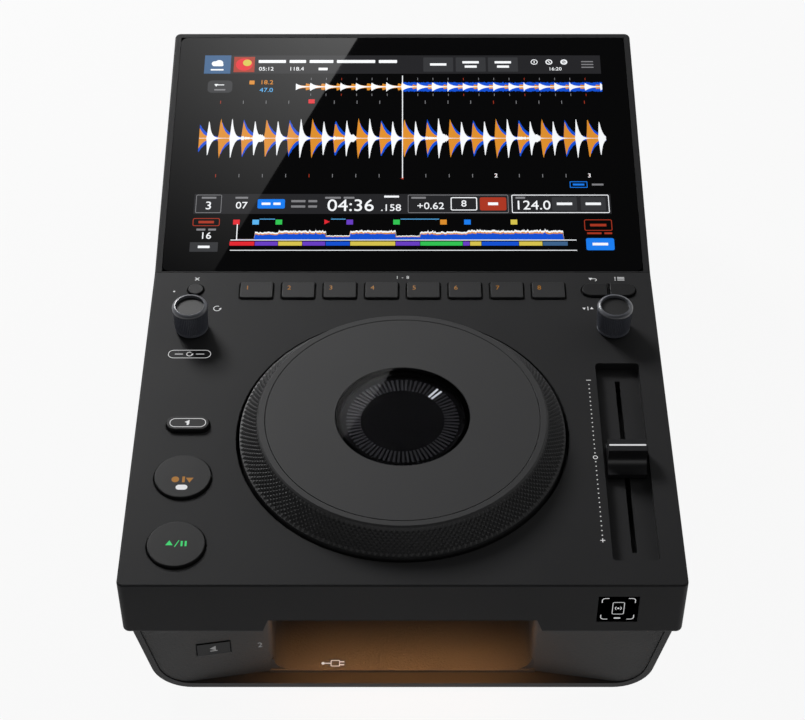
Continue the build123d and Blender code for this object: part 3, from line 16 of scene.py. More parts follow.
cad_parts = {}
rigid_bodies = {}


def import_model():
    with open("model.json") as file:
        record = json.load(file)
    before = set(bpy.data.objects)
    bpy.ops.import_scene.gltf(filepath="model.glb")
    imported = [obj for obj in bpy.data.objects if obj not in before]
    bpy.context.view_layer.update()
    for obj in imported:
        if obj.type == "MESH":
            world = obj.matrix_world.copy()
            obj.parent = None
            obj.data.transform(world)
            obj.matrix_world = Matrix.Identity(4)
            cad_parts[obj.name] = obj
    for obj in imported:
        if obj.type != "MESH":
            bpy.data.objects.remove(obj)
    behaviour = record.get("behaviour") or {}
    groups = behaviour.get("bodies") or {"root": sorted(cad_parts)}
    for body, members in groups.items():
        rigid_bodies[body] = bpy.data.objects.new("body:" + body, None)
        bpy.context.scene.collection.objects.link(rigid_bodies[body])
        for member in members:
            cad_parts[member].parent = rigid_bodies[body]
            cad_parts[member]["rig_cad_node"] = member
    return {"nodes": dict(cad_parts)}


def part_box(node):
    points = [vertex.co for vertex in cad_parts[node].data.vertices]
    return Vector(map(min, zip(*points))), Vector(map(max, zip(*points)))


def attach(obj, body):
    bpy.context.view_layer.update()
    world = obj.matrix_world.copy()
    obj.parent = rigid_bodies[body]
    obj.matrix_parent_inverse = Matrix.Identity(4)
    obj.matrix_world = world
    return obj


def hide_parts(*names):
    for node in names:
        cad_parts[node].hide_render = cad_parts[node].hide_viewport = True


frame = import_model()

scene = bpy.context.scene
for thing in list(bpy.data.objects):
    if thing.type in ("MESH", "LIGHT", "CAMERA") and "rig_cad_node" not in thing:
        bpy.data.objects.remove(thing)
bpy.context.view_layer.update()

# %% [markdown]
# ## One frame for every measure
# Sizes on a player are easiest to think of in millimetres from its front face, so every mesh is drawn
# that way. One matrix then carries a finished mesh into the part's own frame, in metres, and the
# object itself stays at the origin, unturned, as the CAD nodes do.

# %% Millimetres from the front face
MM = 0.001
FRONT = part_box("deck_panel")[0].y
DECK_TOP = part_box("deck_panel")[1].z / MM
TO_ROW = Matrix.Translation((0, FRONT, 0)) @ Matrix.Scale(MM, 4)
PRINT_LOW, PRINT_HIGH = -0.02, 0.03


def middle(node):
    """The middle of a CAD node seen from above, and its top, in millimetres from the front face."""
    low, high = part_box(node)
    centre = (low + high) / 2
    return centre.x / MM, (centre.y - FRONT) / MM, high.z / MM


print("front face", FRONT, "deck top", DECK_TOP, "jog wheel", middle("jog_plate"))

# %% [markdown]
# ## Finishes
# Moulded plastic is never one colour: its grain scatters light, its gloss drifts and dust and handling
# leave faint clouds. Two noises can give all of that. A broad one shifts the colour and the gloss, a
# fine one feeds a bump, so one small recipe serves every plastic, rubber and metal on the player with
# its own numbers. Colours are written as on a paint card, from 0 to 255.

# %% A recipe for moulded and painted surfaces
def paint(red, green, blue):
    """A paint card colour in the linear light that shaders work in."""
    def linear(value):
        """One channel of the card without its gamma curve."""
        value /= 255
        return value / 12.92 if value <= 0.04045 else ((value + 0.055) / 1.055) ** 2.4
    return (linear(red), linear(green), linear(blue), 1)


def shaded(colour, factor):
    """A colour made lighter or darker."""
    return (colour[0] * factor, colour[1] * factor, colour[2] * factor, 1)


def add_node(tree, kind, inputs=(), **settings):
    """A new shader node with its settings, and then its inputs, filled in."""
    made = tree.nodes.new(f"ShaderNode{kind}")
    for name, value in settings.items():
        setattr(made, name, value)
    for name, value in dict(inputs).items():
        made.inputs[name].default_value = value
    return made


def moulded(name, colour, gloss, grain=0.25, depth=0.02, clouds=0.12, metal=0.0, shine=0.5, drift=0.06,
            speckle=0.35):
    """A surface with a grain of that many millimetres, its depth in millimetres, and soft clouds."""
    finish = bpy.data.materials.new(name)
    finish.use_nodes = True
    tree = finish.node_tree
    link, shader = tree.links.new, tree.nodes["Principled BSDF"]
    shader.inputs["Metallic"].default_value = metal
    shader.inputs["Specular IOR Level"].default_value = shine
    place = add_node(tree, "TexCoord")
    broad = add_node(tree, "TexNoise", {"Scale": 28, "Detail": 3})
    fine = add_node(tree, "TexNoise", {"Scale": 1 / (grain * MM * 2), "Detail": 2})
    tones = {"A": shaded(colour, 1 - clouds), "B": shaded(colour, 1 + clouds)}
    tint = add_node(tree, "Mix", tones, data_type="RGBA")
    speck = add_node(tree, "Math", {1: speckle}, operation="MULTIPLY_ADD")
    gloss_range = add_node(tree, "MapRange", {"To Min": gloss - drift, "To Max": gloss + drift})
    bump = add_node(tree, "Bump", {"Strength": 1.0, "Distance": depth * MM})
    link(place.outputs["Object"], broad.inputs["Vector"])
    link(place.outputs["Object"], fine.inputs["Vector"])
    link(fine.outputs["Fac"], speck.inputs[0])
    link(broad.outputs["Fac"], speck.inputs[2])
    link(speck.outputs[0], tint.inputs["Factor"])
    link(tint.outputs["Result"], shader.inputs["Base Color"])
    link(broad.outputs["Fac"], gloss_range.inputs["Value"])
    link(gloss_range.outputs["Result"], shader.inputs["Roughness"])
    link(fine.outputs["Fac"], bump.inputs["Height"])
    link(bump.outputs["Normal"], shader.inputs["Normal"])
    return finish


def lit(name, colour, strength, gloss=0.1, drift=0.01):
    """A surface that also gives light, a little unevenly: a panel with a lamp behind it, or a painted glow.
    """
    finish = moulded(name, shaded(colour, 0.2), gloss, grain=0.5, depth=0.0, clouds=0.05, drift=drift)
    tree = finish.node_tree
    link, shader = tree.links.new, tree.nodes["Principled BSDF"]
    uneven = add_node(tree, "TexNoise", {"Scale": 15})
    glow = add_node(tree, "Mix", {"A": shaded(colour, 0.9), "B": shaded(colour, 1.1)}, data_type="RGBA")
    link(add_node(tree, "TexCoord").outputs["Object"], uneven.inputs["Vector"])
    link(uneven.outputs["Fac"], glow.inputs["Factor"])
    link(glow.outputs["Result"], shader.inputs["Emission Color"])
    shader.inputs["Emission Strength"].default_value = strength
    return finish


def clear(name, colour):
    """A clear moulded lens with a faint coating that takes off some of its reflections."""
    finish = moulded(name, colour, 0.012, grain=2, depth=0.0, clouds=0.02, drift=0.004)
    shader = finish.node_tree.nodes["Principled BSDF"]
    shader.inputs["Transmission Weight"].default_value = 1.0
    shader.inputs["IOR"].default_value = 1.17
    return finish


# %% [markdown]
# The record names one slot per finish. Each CAD node already carries its slot's name, so dressing the
# whole part is one table and one loop. The blacks differ on purpose: the deck is fine matt paint, the
# fascia in front has a coarse grain, the jog plate is flatter and greyer, and the glass is a mirror.

# %% A finish for every slot
FINISHES = {
    "case_black": moulded("deck_paint", paint(48, 48, 49), 0.56, grain=0.22, depth=0.03, shine=0.12),
    "base_grey": moulded("base_plastic", paint(58, 58, 59), 0.5, grain=0.3, depth=0.03, shine=0.3),
    "fascia_black": moulded("fascia_plastic", paint(82, 82, 82), 0.6, grain=0.5, depth=0.3, clouds=0.4,
                            shine=0.3, speckle=1.4),
    "button_black": moulded("button_plastic", paint(32, 32, 33), 0.5, grain=0.2, depth=0.012, shine=0.22),
    "pad_rubber": moulded("pad_rubber_soft", paint(41, 41, 42), 0.62, grain=0.25, depth=0.03, shine=0.3),
    "knob_black": moulded("knob_plastic", paint(118, 121, 131), 0.3, grain=0.25, depth=0.02),
    "cap_black": moulded("cap_plastic", paint(38, 38, 40), 0.3, grain=0.25, depth=0.01),
    "jog_black": moulded("jog_ring_plastic", paint(52, 52, 53), 0.5, grain=0.2, depth=0.015, shine=0.35),
    "jog_plate_metal": moulded("jog_plate_coat", paint(59, 59, 60), 0.62, grain=0.3, depth=0.03, clouds=0.06,
                               shine=0.3),
    "window_gloss": moulded("front_window_gloss", paint(2, 2, 2), 0.3, grain=3, depth=0.0, clouds=0.05,
                            shine=0.0, drift=0.02),
    "clear_lens": lit("lamp_lens", (0.80, 0.80, 0.82, 1), 0.8, gloss=0.2),
    "display_black": moulded("display_black_film", paint(3, 3, 3), 0.3, grain=0.4, depth=0.004, shine=0.2),
    "screen_glass": moulded("touch_glass_black", paint(5, 5, 6), 0.014, grain=4, depth=0.0, clouds=0.05,
                            shine=0.5, drift=0.004),
    "inner_plastic": moulded("inner_abs", paint(60, 60, 62), 0.5, grain=0.4, depth=0.03),
    "board_green": moulded("board_mask", paint(24, 84, 52), 0.35, grain=0.8, depth=0.02, clouds=0.2),
    "steel": moulded("plated_steel", paint(176, 176, 178), 0.3, grain=0.3, depth=0.008, metal=1.0),
    "socket_plastic": moulded("socket_moulding", paint(28, 28, 30), 0.45, grain=0.25, depth=0.02),
    "foot_rubber": moulded("foot_rubber_black", paint(30, 30, 31), 0.8, grain=0.5, depth=0.06),
    "amber_lens": lit("shelf_lamp", (1.0, 0.42, 0.1, 1), 0.8, gloss=0.3),
}
OWN_FINISH = {
    "jog_window": clear("jog_window_lens", paint(200, 200, 205)),
    "display_cup": FINISHES["display_black"],
    "fader_body": FINISHES["socket_plastic"],
    "fader_carriage": FINISHES["socket_plastic"],
}
for name, node in frame["nodes"].items():
    for held in node.material_slots:
        held.material = OWN_FINISH.get(name, FINISHES[held.material.name.split(".")[0]])
print("finishes", len(FINISHES))

# %% [markdown]
# ## Turning a bmesh into a piece
# Every new piece ends the same way: it is carried into the part's frame, doubles are merged, its faces
# are turned outwards, and its edges are left sharp only where two faces meet at a real angle.

# %% Finish a piece
def make_piece(name, bm, body, finish, crease=32, stands_for=()):
    """Turns a bmesh drawn in millimetres into a piece that rides on a body."""
    bmesh.ops.remove_doubles(bm, verts=bm.verts, dist=0.001)
    bmesh.ops.recalc_face_normals(bm, faces=bm.faces)
    bm.transform(TO_ROW)
    mesh = bpy.data.meshes.new(name)
    bm.to_mesh(mesh)
    bm.free()
    mesh.materials.append(finish)
    mesh.shade_smooth()
    mesh.set_sharp_from_angle(angle=math.radians(crease))
    piece = bpy.data.objects.new(name, mesh)
    scene.collection.objects.link(piece)
    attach(piece, body)
    if stands_for:
        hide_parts(*stands_for)
    print(name, len(mesh.polygons), "faces, rides on", body)
    return piece


def lathe(profile, steps, x=0.0, y=0.0):
    """A closed or open profile of (radius, height) points, spun right round a vertical axis."""
    bm = bmesh.new()
    points = [bm.verts.new((x + radius, y, height)) for radius, height in profile]
    edges = [bm.edges.new(pair) for pair in zip(points, points[1:])]
    bmesh.ops.spin(bm, geom=points + edges, cent=(x, y, 0), axis=(0, 0, 1), angle=math.tau,
                   steps=steps, use_merge=True, use_duplicate=False)
    bmesh.ops.remove_doubles(bm, verts=bm.verts, dist=0.001)
    return bm


# %% [markdown]
# ## The jog wheel's knurled ring
# The ring that fingers push has a leaning flank of small diamond bumps in offset rows. It could be a
# bump texture, but its outline shows against the deck and catches light along each ridge, so it is
# geometry. The profile is spun in an even number of steps. Every other point of the flank is then
# pushed in, row by row in a chess pattern, and each face is split between its two low corners, which
# leaves crisp four-sided points.

# %% Spin and press the knurled ring
JOG_X, JOG_Y, JOG_TOP = middle("jog_plate")
RING_STEPS = 352
RIM_STEPS = 180
KNURL_ROWS = 10
KNURL_DEPTH = 0.65
FLANK_LOW, FLANK_HIGH = Vector((76.5, 85.4)), Vector((67.9, 95.2))
SKIRT_OUT, SKIRT_IN, SKIRT_TOP, SKIRT_FOOT = 76.55, 74.4, 84.9, 77.2
RING_IN, RING_SEAT = 64.25, 93.6
RIM_OUT, RIM_IN, GROOVE = 67.1, 64.45, 64.3
RIM_STEP, RIM_LAP = 0.25, 0.3


def flank_point(row):
    """The radius and height of a row of the flank, from the lowest row up."""
    return FLANK_LOW.lerp(FLANK_HIGH, row / KNURL_ROWS)


rim_seat = JOG_TOP - RIM_STEP
ring_profile = [(RING_IN, RING_SEAT), (RING_IN, rim_seat), (RIM_OUT + RIM_LAP, rim_seat)]
ring_profile += [tuple(flank_point(row)) for row in range(KNURL_ROWS, -1, -1)]
ring_profile += [(SKIRT_OUT, SKIRT_TOP), (SKIRT_OUT, SKIRT_FOOT), (SKIRT_IN, SKIRT_FOOT)]
ring_profile += [(SKIRT_IN, SKIRT_TOP - 0.5), (66.0, 92.0), (RING_IN, RING_SEAT)]
knurled = lathe(ring_profile, RING_STEPS, JOG_X, JOG_Y)
row_heights = {round(flank_point(row).y, 3): row for row in range(1, KNURL_ROWS)}
low_points = set()
for point in knurled.verts:
    arm = Vector((point.co.x - JOG_X, point.co.y - JOG_Y))
    row = row_heights.get(round(point.co.z, 3))
    if row is None or arm.length < RIM_OUT - 0.6:
        continue
    column = round(math.atan2(arm.y, arm.x) / math.tau * RING_STEPS)
    if (row + column) % 2:
        low_points.add(point)
        out = arm.normalized()
        point.co -= Vector((out.x, out.y, 1)) * 0.7 * KNURL_DEPTH
knurled.faces.ensure_lookup_table()
for face in list(knurled.faces):
    corners = [loop.vert for loop in face.loops]
    low_ones = [corner for corner in corners if corner in low_points]
    if len(corners) == 4 and len(low_ones) == 2:
        bmesh.utils.face_split(face, low_ones[0], low_ones[1])
    elif len(corners) == 4 and len(low_ones) == 1:
        low_at = corners.index(low_ones[0])
        bmesh.utils.face_split(face, low_ones[0], corners[(low_at + 2) % 4])
rim_foot = rim_seat - 0.1
rim_profile = [(GROOVE, rim_foot), (GROOVE, JOG_TOP - 0.12), (RIM_IN, JOG_TOP), (RIM_OUT, JOG_TOP)]
rim_profile += [(RIM_OUT + RIM_LAP, JOG_TOP - 0.2), (RIM_OUT + 0.25, rim_foot), (GROOVE, rim_foot)]
rim = lathe(rim_profile, RIM_STEPS, JOG_X, JOG_Y)
make_piece("jog_rim_band", rim, "jog_wheel", FINISHES["jog_plate_metal"])
make_piece("jog_ring_knurled", knurled, "jog_wheel", FINISHES["jog_black"], crease=20,
           stands_for=["jog_ring"])

# %% [markdown]
# ## The jog wheel's display
# Under the clear window lies a round display: a ring of short grey dashes, two of them lit to show
# where the record is. The window becomes a clear lens, and the dashes are thin blocks on the display.
# The grey dashes also glow faintly: painted light in place of the lamplight that the lens keeps from them.

# %% Flat shapes to draw with
def block(bm, x, y, width, height, turn=0.0, round_by=0.0):
    """A filled rectangle by its middle, with its corners rounded if asked."""
    place = Matrix.Translation((x, y, 0)) @ Matrix.Rotation(turn, 4, "Z")
    place = place @ Matrix.Diagonal((width, height, 1, 1))
    made = bmesh.ops.create_grid(bm, x_segments=1, y_segments=1, size=0.5, matrix=place)
    if not round_by:
        return made["verts"][0].link_faces[0]
    made = bmesh.ops.bevel(bm, geom=made["verts"], offset=round_by, offset_type="OFFSET", affect="VERTICES",
                           segments=4, profile=0.5, material=-1)
    return max((face for vert in made["verts"] for face in vert.link_faces), key=lambda f: len(f.verts))


def hollow(bm, face, line):
    """Leaves only a line of that width along a face's edge."""
    bmesh.ops.inset_region(bm, faces=[face], thickness=line, use_even_offset=True,
                           use_boundary=True)
    bmesh.ops.delete(bm, geom=[face], context="FACES_ONLY")


def frame_box(bm, x, y, width, height, line, round_by=0.0):
    """The outline of a rectangle, by its middle and its outer size."""
    hollow(bm, block(bm, x, y, width, height, 0, round_by), line)


def disc(bm, x, y, radius, steps=28, turn=0.0):
    """A filled circle, or with three steps the triangle of many signs."""
    place = Matrix.Translation((x, y, 0)) @ Matrix.Rotation(turn, 4, "Z")
    made = bmesh.ops.create_circle(bm, cap_ends=True, segments=steps, radius=radius, matrix=place)
    return made["verts"][0].link_faces[0]


def arc(bm, x, y, inner, outer, start, sweep, steps=16):
    """Part of a flat ring, by turning one short edge about the middle."""
    aim = Vector((math.cos(start), math.sin(start), 0))
    ends = [bm.verts.new(Vector((x, y, 0)) + aim * reach) for reach in (inner, outer)]
    edge = bm.edges.new(ends)
    bmesh.ops.spin(bm, geom=ends + [edge], cent=(x, y, 0), axis=(0, 0, 1), angle=sweep, steps=steps,
                   use_merge=False, use_duplicate=False)


def words(bm, text, x, y, height, spread=1.0):
    """Numbers or signs, drawn flat and centred at x, y."""
    curve = bpy.data.curves.new("numbers", "FONT")
    curve.body = text
    curve.align_x, curve.align_y = "CENTER", "CENTER"
    curve.size = height / 0.7
    curve.space_character = spread
    holder = bpy.data.objects.new("numbers", curve)
    scene.collection.objects.link(holder)
    mesh = bpy.data.meshes.new_from_object(holder)
    mesh.transform(Matrix.Translation((x, y, 0)))
    bm.from_mesh(mesh)
    bpy.data.objects.remove(holder)
    bpy.data.meshes.remove(mesh)


def thicken(bm, plane, low=PRINT_LOW, high=PRINT_HIGH):
    """Gives flat shapes a thickness, as ink or film has, and lays them on a plane."""
    bmesh.ops.dissolve_degenerate(bm, dist=0.0001, edges=bm.edges)
    for face in bm.faces:
        face.normal_update()
        if face.normal.z < 0:
            face.normal_flip()
    bmesh.ops.translate(bm, verts=bm.verts, vec=(0, 0, low))
    grown = bmesh.ops.extrude_face_region(bm, geom=list(bm.faces), use_keep_orig=True)
    risen = [part for part in grown["geom"] if isinstance(part, bmesh.types.BMVert)]
    bmesh.ops.translate(bm, verts=risen, vec=(0, 0, high - low))
    bm.transform(plane)
    return bm


def level(z):
    """A plane facing up at that height."""
    return Matrix.Translation((0, 0, z))


# %% Dashes on the jog display
DASH_COUNT = 72
DASH_IN, DASH_OUT, DASH_WIDTH = 19.6, 26.4, 1.0
LIT_ANGLE = 41.8
DISPLAY_TOP = middle("jog_display")[2]
WHITE_GLOW = lit("dash_lamp_white", (0.92, 0.95, 1.0, 1), 1.0)
# The grey dashes glow faintly as painted light, standing in for lamplight the lens keeps from them.
GREY_DASH_PAINTED_GLOW = lit("dash_painted_glow_grey", (0.026, 0.026, 0.028, 1), 1.0)
dashes, lit_dashes = bmesh.new(), bmesh.new()
for number in range(DASH_COUNT):
    clockwise = math.radians(LIT_ANGLE - 2.5 + number * 360 / DASH_COUNT)
    reach = (DASH_IN + DASH_OUT) / 2
    x, y = JOG_X + reach * math.sin(clockwise), JOG_Y + reach * math.cos(clockwise)
    target = lit_dashes if number < 2 else dashes
    block(target, x, y, DASH_WIDTH, DASH_OUT - DASH_IN, -clockwise)
make_piece("jog_dashes_grey", thicken(dashes, level(DISPLAY_TOP)), "player", GREY_DASH_PAINTED_GLOW)
make_piece("jog_dashes_lit", thicken(lit_dashes, level(DISPLAY_TOP)), "player", WHITE_GLOW)

# %% [markdown]
# ## Ribbed knobs
# Each knob narrows a little towards its foot. It has fine ribs for the fingertips, a lighter rounded
# ring on top and a sunken disc in the ring. One profile is spun with four steps to a rib; two of every
# four points in the ribbed rows are drawn in, which cuts the grooves.

# %% Spin the knobs and cut their ribs
RIB_COUNT = 56
RIB_DEPTH = 0.5
KNOB_DISC = moulded("knob_disc_matt", paint(22, 22, 23), 0.5, grain=0.2, depth=0.015)
KNOB_RING = moulded("knob_ring_satin", paint(98, 100, 106), 0.3, grain=0.25, depth=0.01, shine=0.7)


def ribbed_knob(node, body):
    """A knob that turns: a ribbed body with a bevelled ring and a sunken disc on top."""
    x, y, top = middle(node)
    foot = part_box(node)[0].z / MM
    rows = [(8.24, foot + 1.7), (8.26, foot + 2.1), (8.64, top - 2.4), (8.66, top - 2.0)]
    profile = [(0, foot), (7.9, foot), (8.18, foot + 0.3), (8.24, foot + 1.5), *rows]
    profile += [(8.7, top - 1.9), (7.6, top - 1.9), (7.2, top - 2.55), (0, top - 2.55)]
    bm = lathe(profile, RIB_COUNT * 4, x, y)
    for point in bm.verts:
        arm = Vector((point.co.x - x, point.co.y - y))
        step = round(math.atan2(arm.y, arm.x) / math.tau * RIB_COUNT * 4) % 4
        if arm.length > 8.2 and rows[0][1] - 0.01 < point.co.z < rows[3][1] + 0.01 and step in (1, 2):
            point.co.x -= arm.normalized().x * RIB_DEPTH
            point.co.y -= arm.normalized().y * RIB_DEPTH
    make_piece(f"{node}_ribbed", bm, body, FINISHES["knob_black"], crease=30,
               stands_for=[node])
    ring = [(6.9, top - 2.5), (6.9, top - 0.15), (7.0, top), (7.25, top), (7.9, top - 0.25),
            (8.45, top - 0.75), (8.72, top - 1.3), (8.7, top - 1.85), (8.2, top - 1.85), (6.9, top - 2.5)]
    make_piece(f"{node}_ring", lathe(ring, 120, x, y), body, KNOB_RING, crease=40)
    sunken = [(0, top - 2.5), (6.85, top - 2.5), (6.85, top - 1.6), (6.7, top - 1.5), (0, top - 1.5)]
    make_piece(f"{node}_disc", lathe(sunken, 96, x, y), body, KNOB_DISC)


ribbed_knob("loop_knob", "loop_pushing")
ribbed_knob("browse_knob", "browse_pushing")

# %% [markdown]
# ## Prints
# The marks on the deck are silk-screened ink: thin, flat and slightly proud. They are drawn as flat
# shapes in one mesh per colour and per moving body, then given the thickness of ink. All of them are
# plain signs and numbers. The white and label inks also glow a little, a painted glow that makes them
# brighter than the lamps alone would.

# %% Inks, and the black of the painted gap shade
# The white and label inks glow: painted light that brightens the prints, not a lamp.
INK_WHITE_PAINTED_GLOW = lit("ink_white_painted_glow", (0.80, 0.80, 0.81, 1), 0.7, gloss=0.5)
INK_GREY = moulded("ink_grey", paint(140, 140, 142), 0.5, grain=0.15, depth=0.01, clouds=0.05)
INK_LABEL_PAINTED_GLOW = lit("ink_label_painted_glow", (0.22, 0.22, 0.22, 1), 0.7, gloss=0.5)
# Not ink: a black film laid along the holes as painted shade for the gaps and their shadows.
PAINTED_GAP_SHADE = moulded("painted_gap_shade_black", paint(6, 6, 6), 0.7, grain=0.2, depth=0.01, shine=0.1)
INK_AMBER = lit("ink_amber_lamp", (0.46, 0.20, 0.03, 1), 0.6)
INK_GREEN = lit("ink_green_lamp", (0.05, 0.60, 0.16, 1), 0.9)
FADER_X, FADER_Y = middle("fader_cap")[:2]

# %% Deck marks: fader scale and signs over the keys
SCALE_X = FADER_X - 14.4
SCALE_REACH, SCALE_STEPS = 50.0, 18
END_MARK, THIN_LINE = 2.3, 0.38
LEFT_COLUMN = -104.0
RELOOP_Y = 144.3
KNOB_SIGN_X, KNOB_SIGN_Y = 92.6, 176.6
KEY_SIGN_Y = 198.4
BACK_SIGN_X, TAG_SIGN_X = 95.2, 110.6


def loop_arrow(bm, x, y, radius):
    """A ring with a gap and an arrow head, the sign for a loop."""
    arc(bm, x, y, radius - 0.2, radius + 0.2, math.radians(60), math.radians(290), 20)
    head = math.radians(-5)
    disc(bm, x + radius * math.cos(head), y + radius * math.sin(head), 0.75, 3, math.radians(80))


deck_ink = bmesh.new()
for step in range(1 - SCALE_STEPS, SCALE_STEPS):
    if step:
        disc(deck_ink, SCALE_X, FADER_Y + step * SCALE_REACH / SCALE_STEPS, 0.33, 12)
hollow(deck_ink, disc(deck_ink, SCALE_X, FADER_Y, 1.15, 24), 0.36)
scale_end = SCALE_REACH + 0.2
block(deck_ink, SCALE_X, FADER_Y + scale_end, END_MARK, THIN_LINE)
block(deck_ink, SCALE_X, FADER_Y - scale_end, END_MARK, THIN_LINE)
block(deck_ink, SCALE_X, FADER_Y - scale_end, THIN_LINE, END_MARK)

frame_box(deck_ink, LEFT_COLUMN, RELOOP_Y, 21.0, 5.6, 0.3, 2.75)
loop_arrow(deck_ink, LEFT_COLUMN, RELOOP_Y, 1.35)
for side in (-1, 1):
    block(deck_ink, LEFT_COLUMN + side * 5.2, RELOOP_Y, 4.0, 0.4)
loop_arrow(deck_ink, -KNOB_SIGN_X, KNOB_SIGN_Y, 1.7)
for side in (-1, 1):
    disc(deck_ink, KNOB_SIGN_X + side * 1.9, KNOB_SIGN_Y, 1.0, 3, 0 if side > 0 else math.pi)
block(deck_ink, KNOB_SIGN_X, KNOB_SIGN_Y, 0.4, 2.6)

for turn in (45, -45):
    block(deck_ink, LEFT_COLUMN, KEY_SIGN_Y - 0.2, 2.9, 0.45, math.radians(turn))
words(deck_ink, "1 - 8", 0, KEY_SIGN_Y + 0.9, 2.1, 1.2)
disc(deck_ink, BACK_SIGN_X, KEY_SIGN_Y, 1.15, 3, math.pi)
arc(deck_ink, BACK_SIGN_X + 2.2, KEY_SIGN_Y - 0.8, 0.65, 1.0, -math.pi / 2, math.pi, 12)
block(deck_ink, BACK_SIGN_X + 1.3, KEY_SIGN_Y, 1.9, 0.36)
for rise in (-1, 0, 1):
    block(deck_ink, TAG_SIGN_X, KEY_SIGN_Y + rise, 3.6, THIN_LINE)
    disc(deck_ink, TAG_SIGN_X - 2.9, KEY_SIGN_Y + rise, 0.3, 10)
make_piece("deck_prints", thicken(deck_ink, level(DECK_TOP)), "player", INK_WHITE_PAINTED_GLOW)

# %% [markdown]
# A button stands in a hole with a gap round it, and the gap looks black. A thin black line on the deck
# along each hole, and round the jog wheel, is painted shade: it darkens the gap and the shadow beside it,
# so the edge is as clear from far off as it is from near by. The line follows the button's own box. The
# box also holds the flange under the deck, so its width is taken off first.

# %% Painted shade along the edges of the holes
JOG_HOLE = 78.2
FLANGE_LAP = 1.2
BUTTON_GAP = 0.5
GAP_SHADE_WIDTH = 0.35
PAD_CORNER = 1.8


def hole_edge(bm, low, high, corner=None):
    """A line of painted shade round a button's hole, from the button's box: a ring, or a frame with rounded
    corners.
    """
    x, y = (low.x + high.x) / 2 / MM, ((low.y + high.y) / 2 - FRONT) / MM
    wider = 2 * BUTTON_GAP - 2 * FLANGE_LAP
    width, depth = (high.x - low.x) / MM + wider, (high.y - low.y) / MM + wider
    if corner is None and abs(width - depth) < 0.01:
        arc(bm, x, y, width / 2, width / 2 + GAP_SHADE_WIDTH, 0, math.tau, 64)
        return
    lines = 2 * GAP_SHADE_WIDTH
    frame_box(bm, x, y, width + lines, depth + lines, GAP_SHADE_WIDTH, corner or depth / 2)


gap_shade_lines = bmesh.new()
arc(gap_shade_lines, JOG_X, JOG_Y, JOG_HOLE, JOG_HOLE + 0.25, 0, math.tau, 180)
for number in range(1, 9):
    hole_edge(gap_shade_lines, *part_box(f"hot_cue_pad_{number}"), PAD_CORNER)
for node in ("shift_button", "delete_button", "cue_button", "play_button"):
    hole_edge(gap_shade_lines, *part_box(node))
hole_edge(gap_shade_lines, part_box("back_button")[0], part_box("tag_button")[1])
make_piece("painted_shade_edges", thicken(gap_shade_lines, level(DECK_TOP)), "player", PAINTED_GAP_SHADE)

# %% [markdown]
# The pads carry their numbers in amber at the upper left corner, where a lamp shows through. The cue
# button has an amber sign over a white pill, and the play button a green one. Each sign rides on its
# own button, so it goes down with it.

# %% Marks on pads and buttons
for number in range(1, 9):
    node = f"hot_cue_pad_{number}"
    x, y, top = middle(node)
    mark = bmesh.new()
    words(mark, str(number), x - 4.6, y + 1.3, 2.9)
    make_piece(f"pad_{number}_mark", thicken(mark, level(top)), f"{node}_key", INK_AMBER)

cue_x, cue_y, cue_top = middle("cue_button")
cue_sign_y, cue_pill_y = cue_y - 2.2, cue_y - 7.0
cue_mark, cue_pill = bmesh.new(), bmesh.new()
disc(cue_mark, cue_x - 3.2, cue_sign_y, 1.75, 32)
block(cue_mark, cue_x + 0.6, cue_sign_y, 1.2, 3.5)
disc(cue_mark, cue_x + 3.4, cue_sign_y, 2.0, 3, math.pi)
block(cue_pill, cue_x, cue_pill_y, 5.4, 3.0, 0, 1.45)
make_piece("cue_mark", thicken(cue_mark, level(cue_top)), "cue_key", INK_AMBER)
make_piece("cue_pill", thicken(cue_pill, level(cue_top)), "cue_key", INK_WHITE_PAINTED_GLOW)

play_x, play_y, play_top = middle("play_button")
play_mark = bmesh.new()
disc(play_mark, play_x - 3.0, play_y, 1.9, 3)
block(play_mark, play_x + 0.4, play_y, 0.42, 4.2, math.radians(-25))
block(play_mark, play_x + 2.6, play_y, 0.9, 3.0)
block(play_mark, play_x + 4.4, play_y, 0.9, 3.0)
make_piece("play_mark", thicken(play_mark, level(play_top)), "play_key", INK_GREEN)

shift_x, shift_y, shift_top = middle("shift_button")
shift_mark = bmesh.new()
frame_box(shift_mark, shift_x, shift_y, 17.2, 5.6, 0.3, 2.75)
disc(shift_mark, shift_x, shift_y + 0.45, 1.5, 3, math.radians(90))
block(shift_mark, shift_x, shift_y - 0.9, 0.9, 1.3)
make_piece("shift_mark", thicken(shift_mark, level(shift_top)), "shift_key", INK_WHITE_PAINTED_GLOW)

# %% [markdown]
# ## The fader cap's line
# A white line runs across the cap's ridge so that its place can be read against the scale.

# %% Line on the fader cap
cap_top = middle("fader_cap")[2]
cap_line = bmesh.new()
block(cap_line, FADER_X, FADER_Y, 17.1, 0.95, 0, 0.3)
make_piece("fader_cap_line", thicken(cap_line, level(cap_top)), "tempo_fader", INK_WHITE_PAINTED_GLOW)

# %% [markdown]
# ## Signs on the front
# The glossy window in the front face has four corner brackets, a phone and a small wave sign that show
# where to hold a phone. The left fascia panel has the eject sign and the slot's number. Each set lies
# on its own upright plane, so a matrix stands the flat drawing up.

# %% Front signs
def upright_plane(x, y, z, turn=0.0):
    """A plane facing forwards, by a point on it, turned about the vertical."""
    stood_up = Matrix.Rotation(turn, 4, "Z") @ Matrix.Rotation(math.pi / 2, 4, "X")
    return Matrix.Translation((x, y, z)) @ stood_up


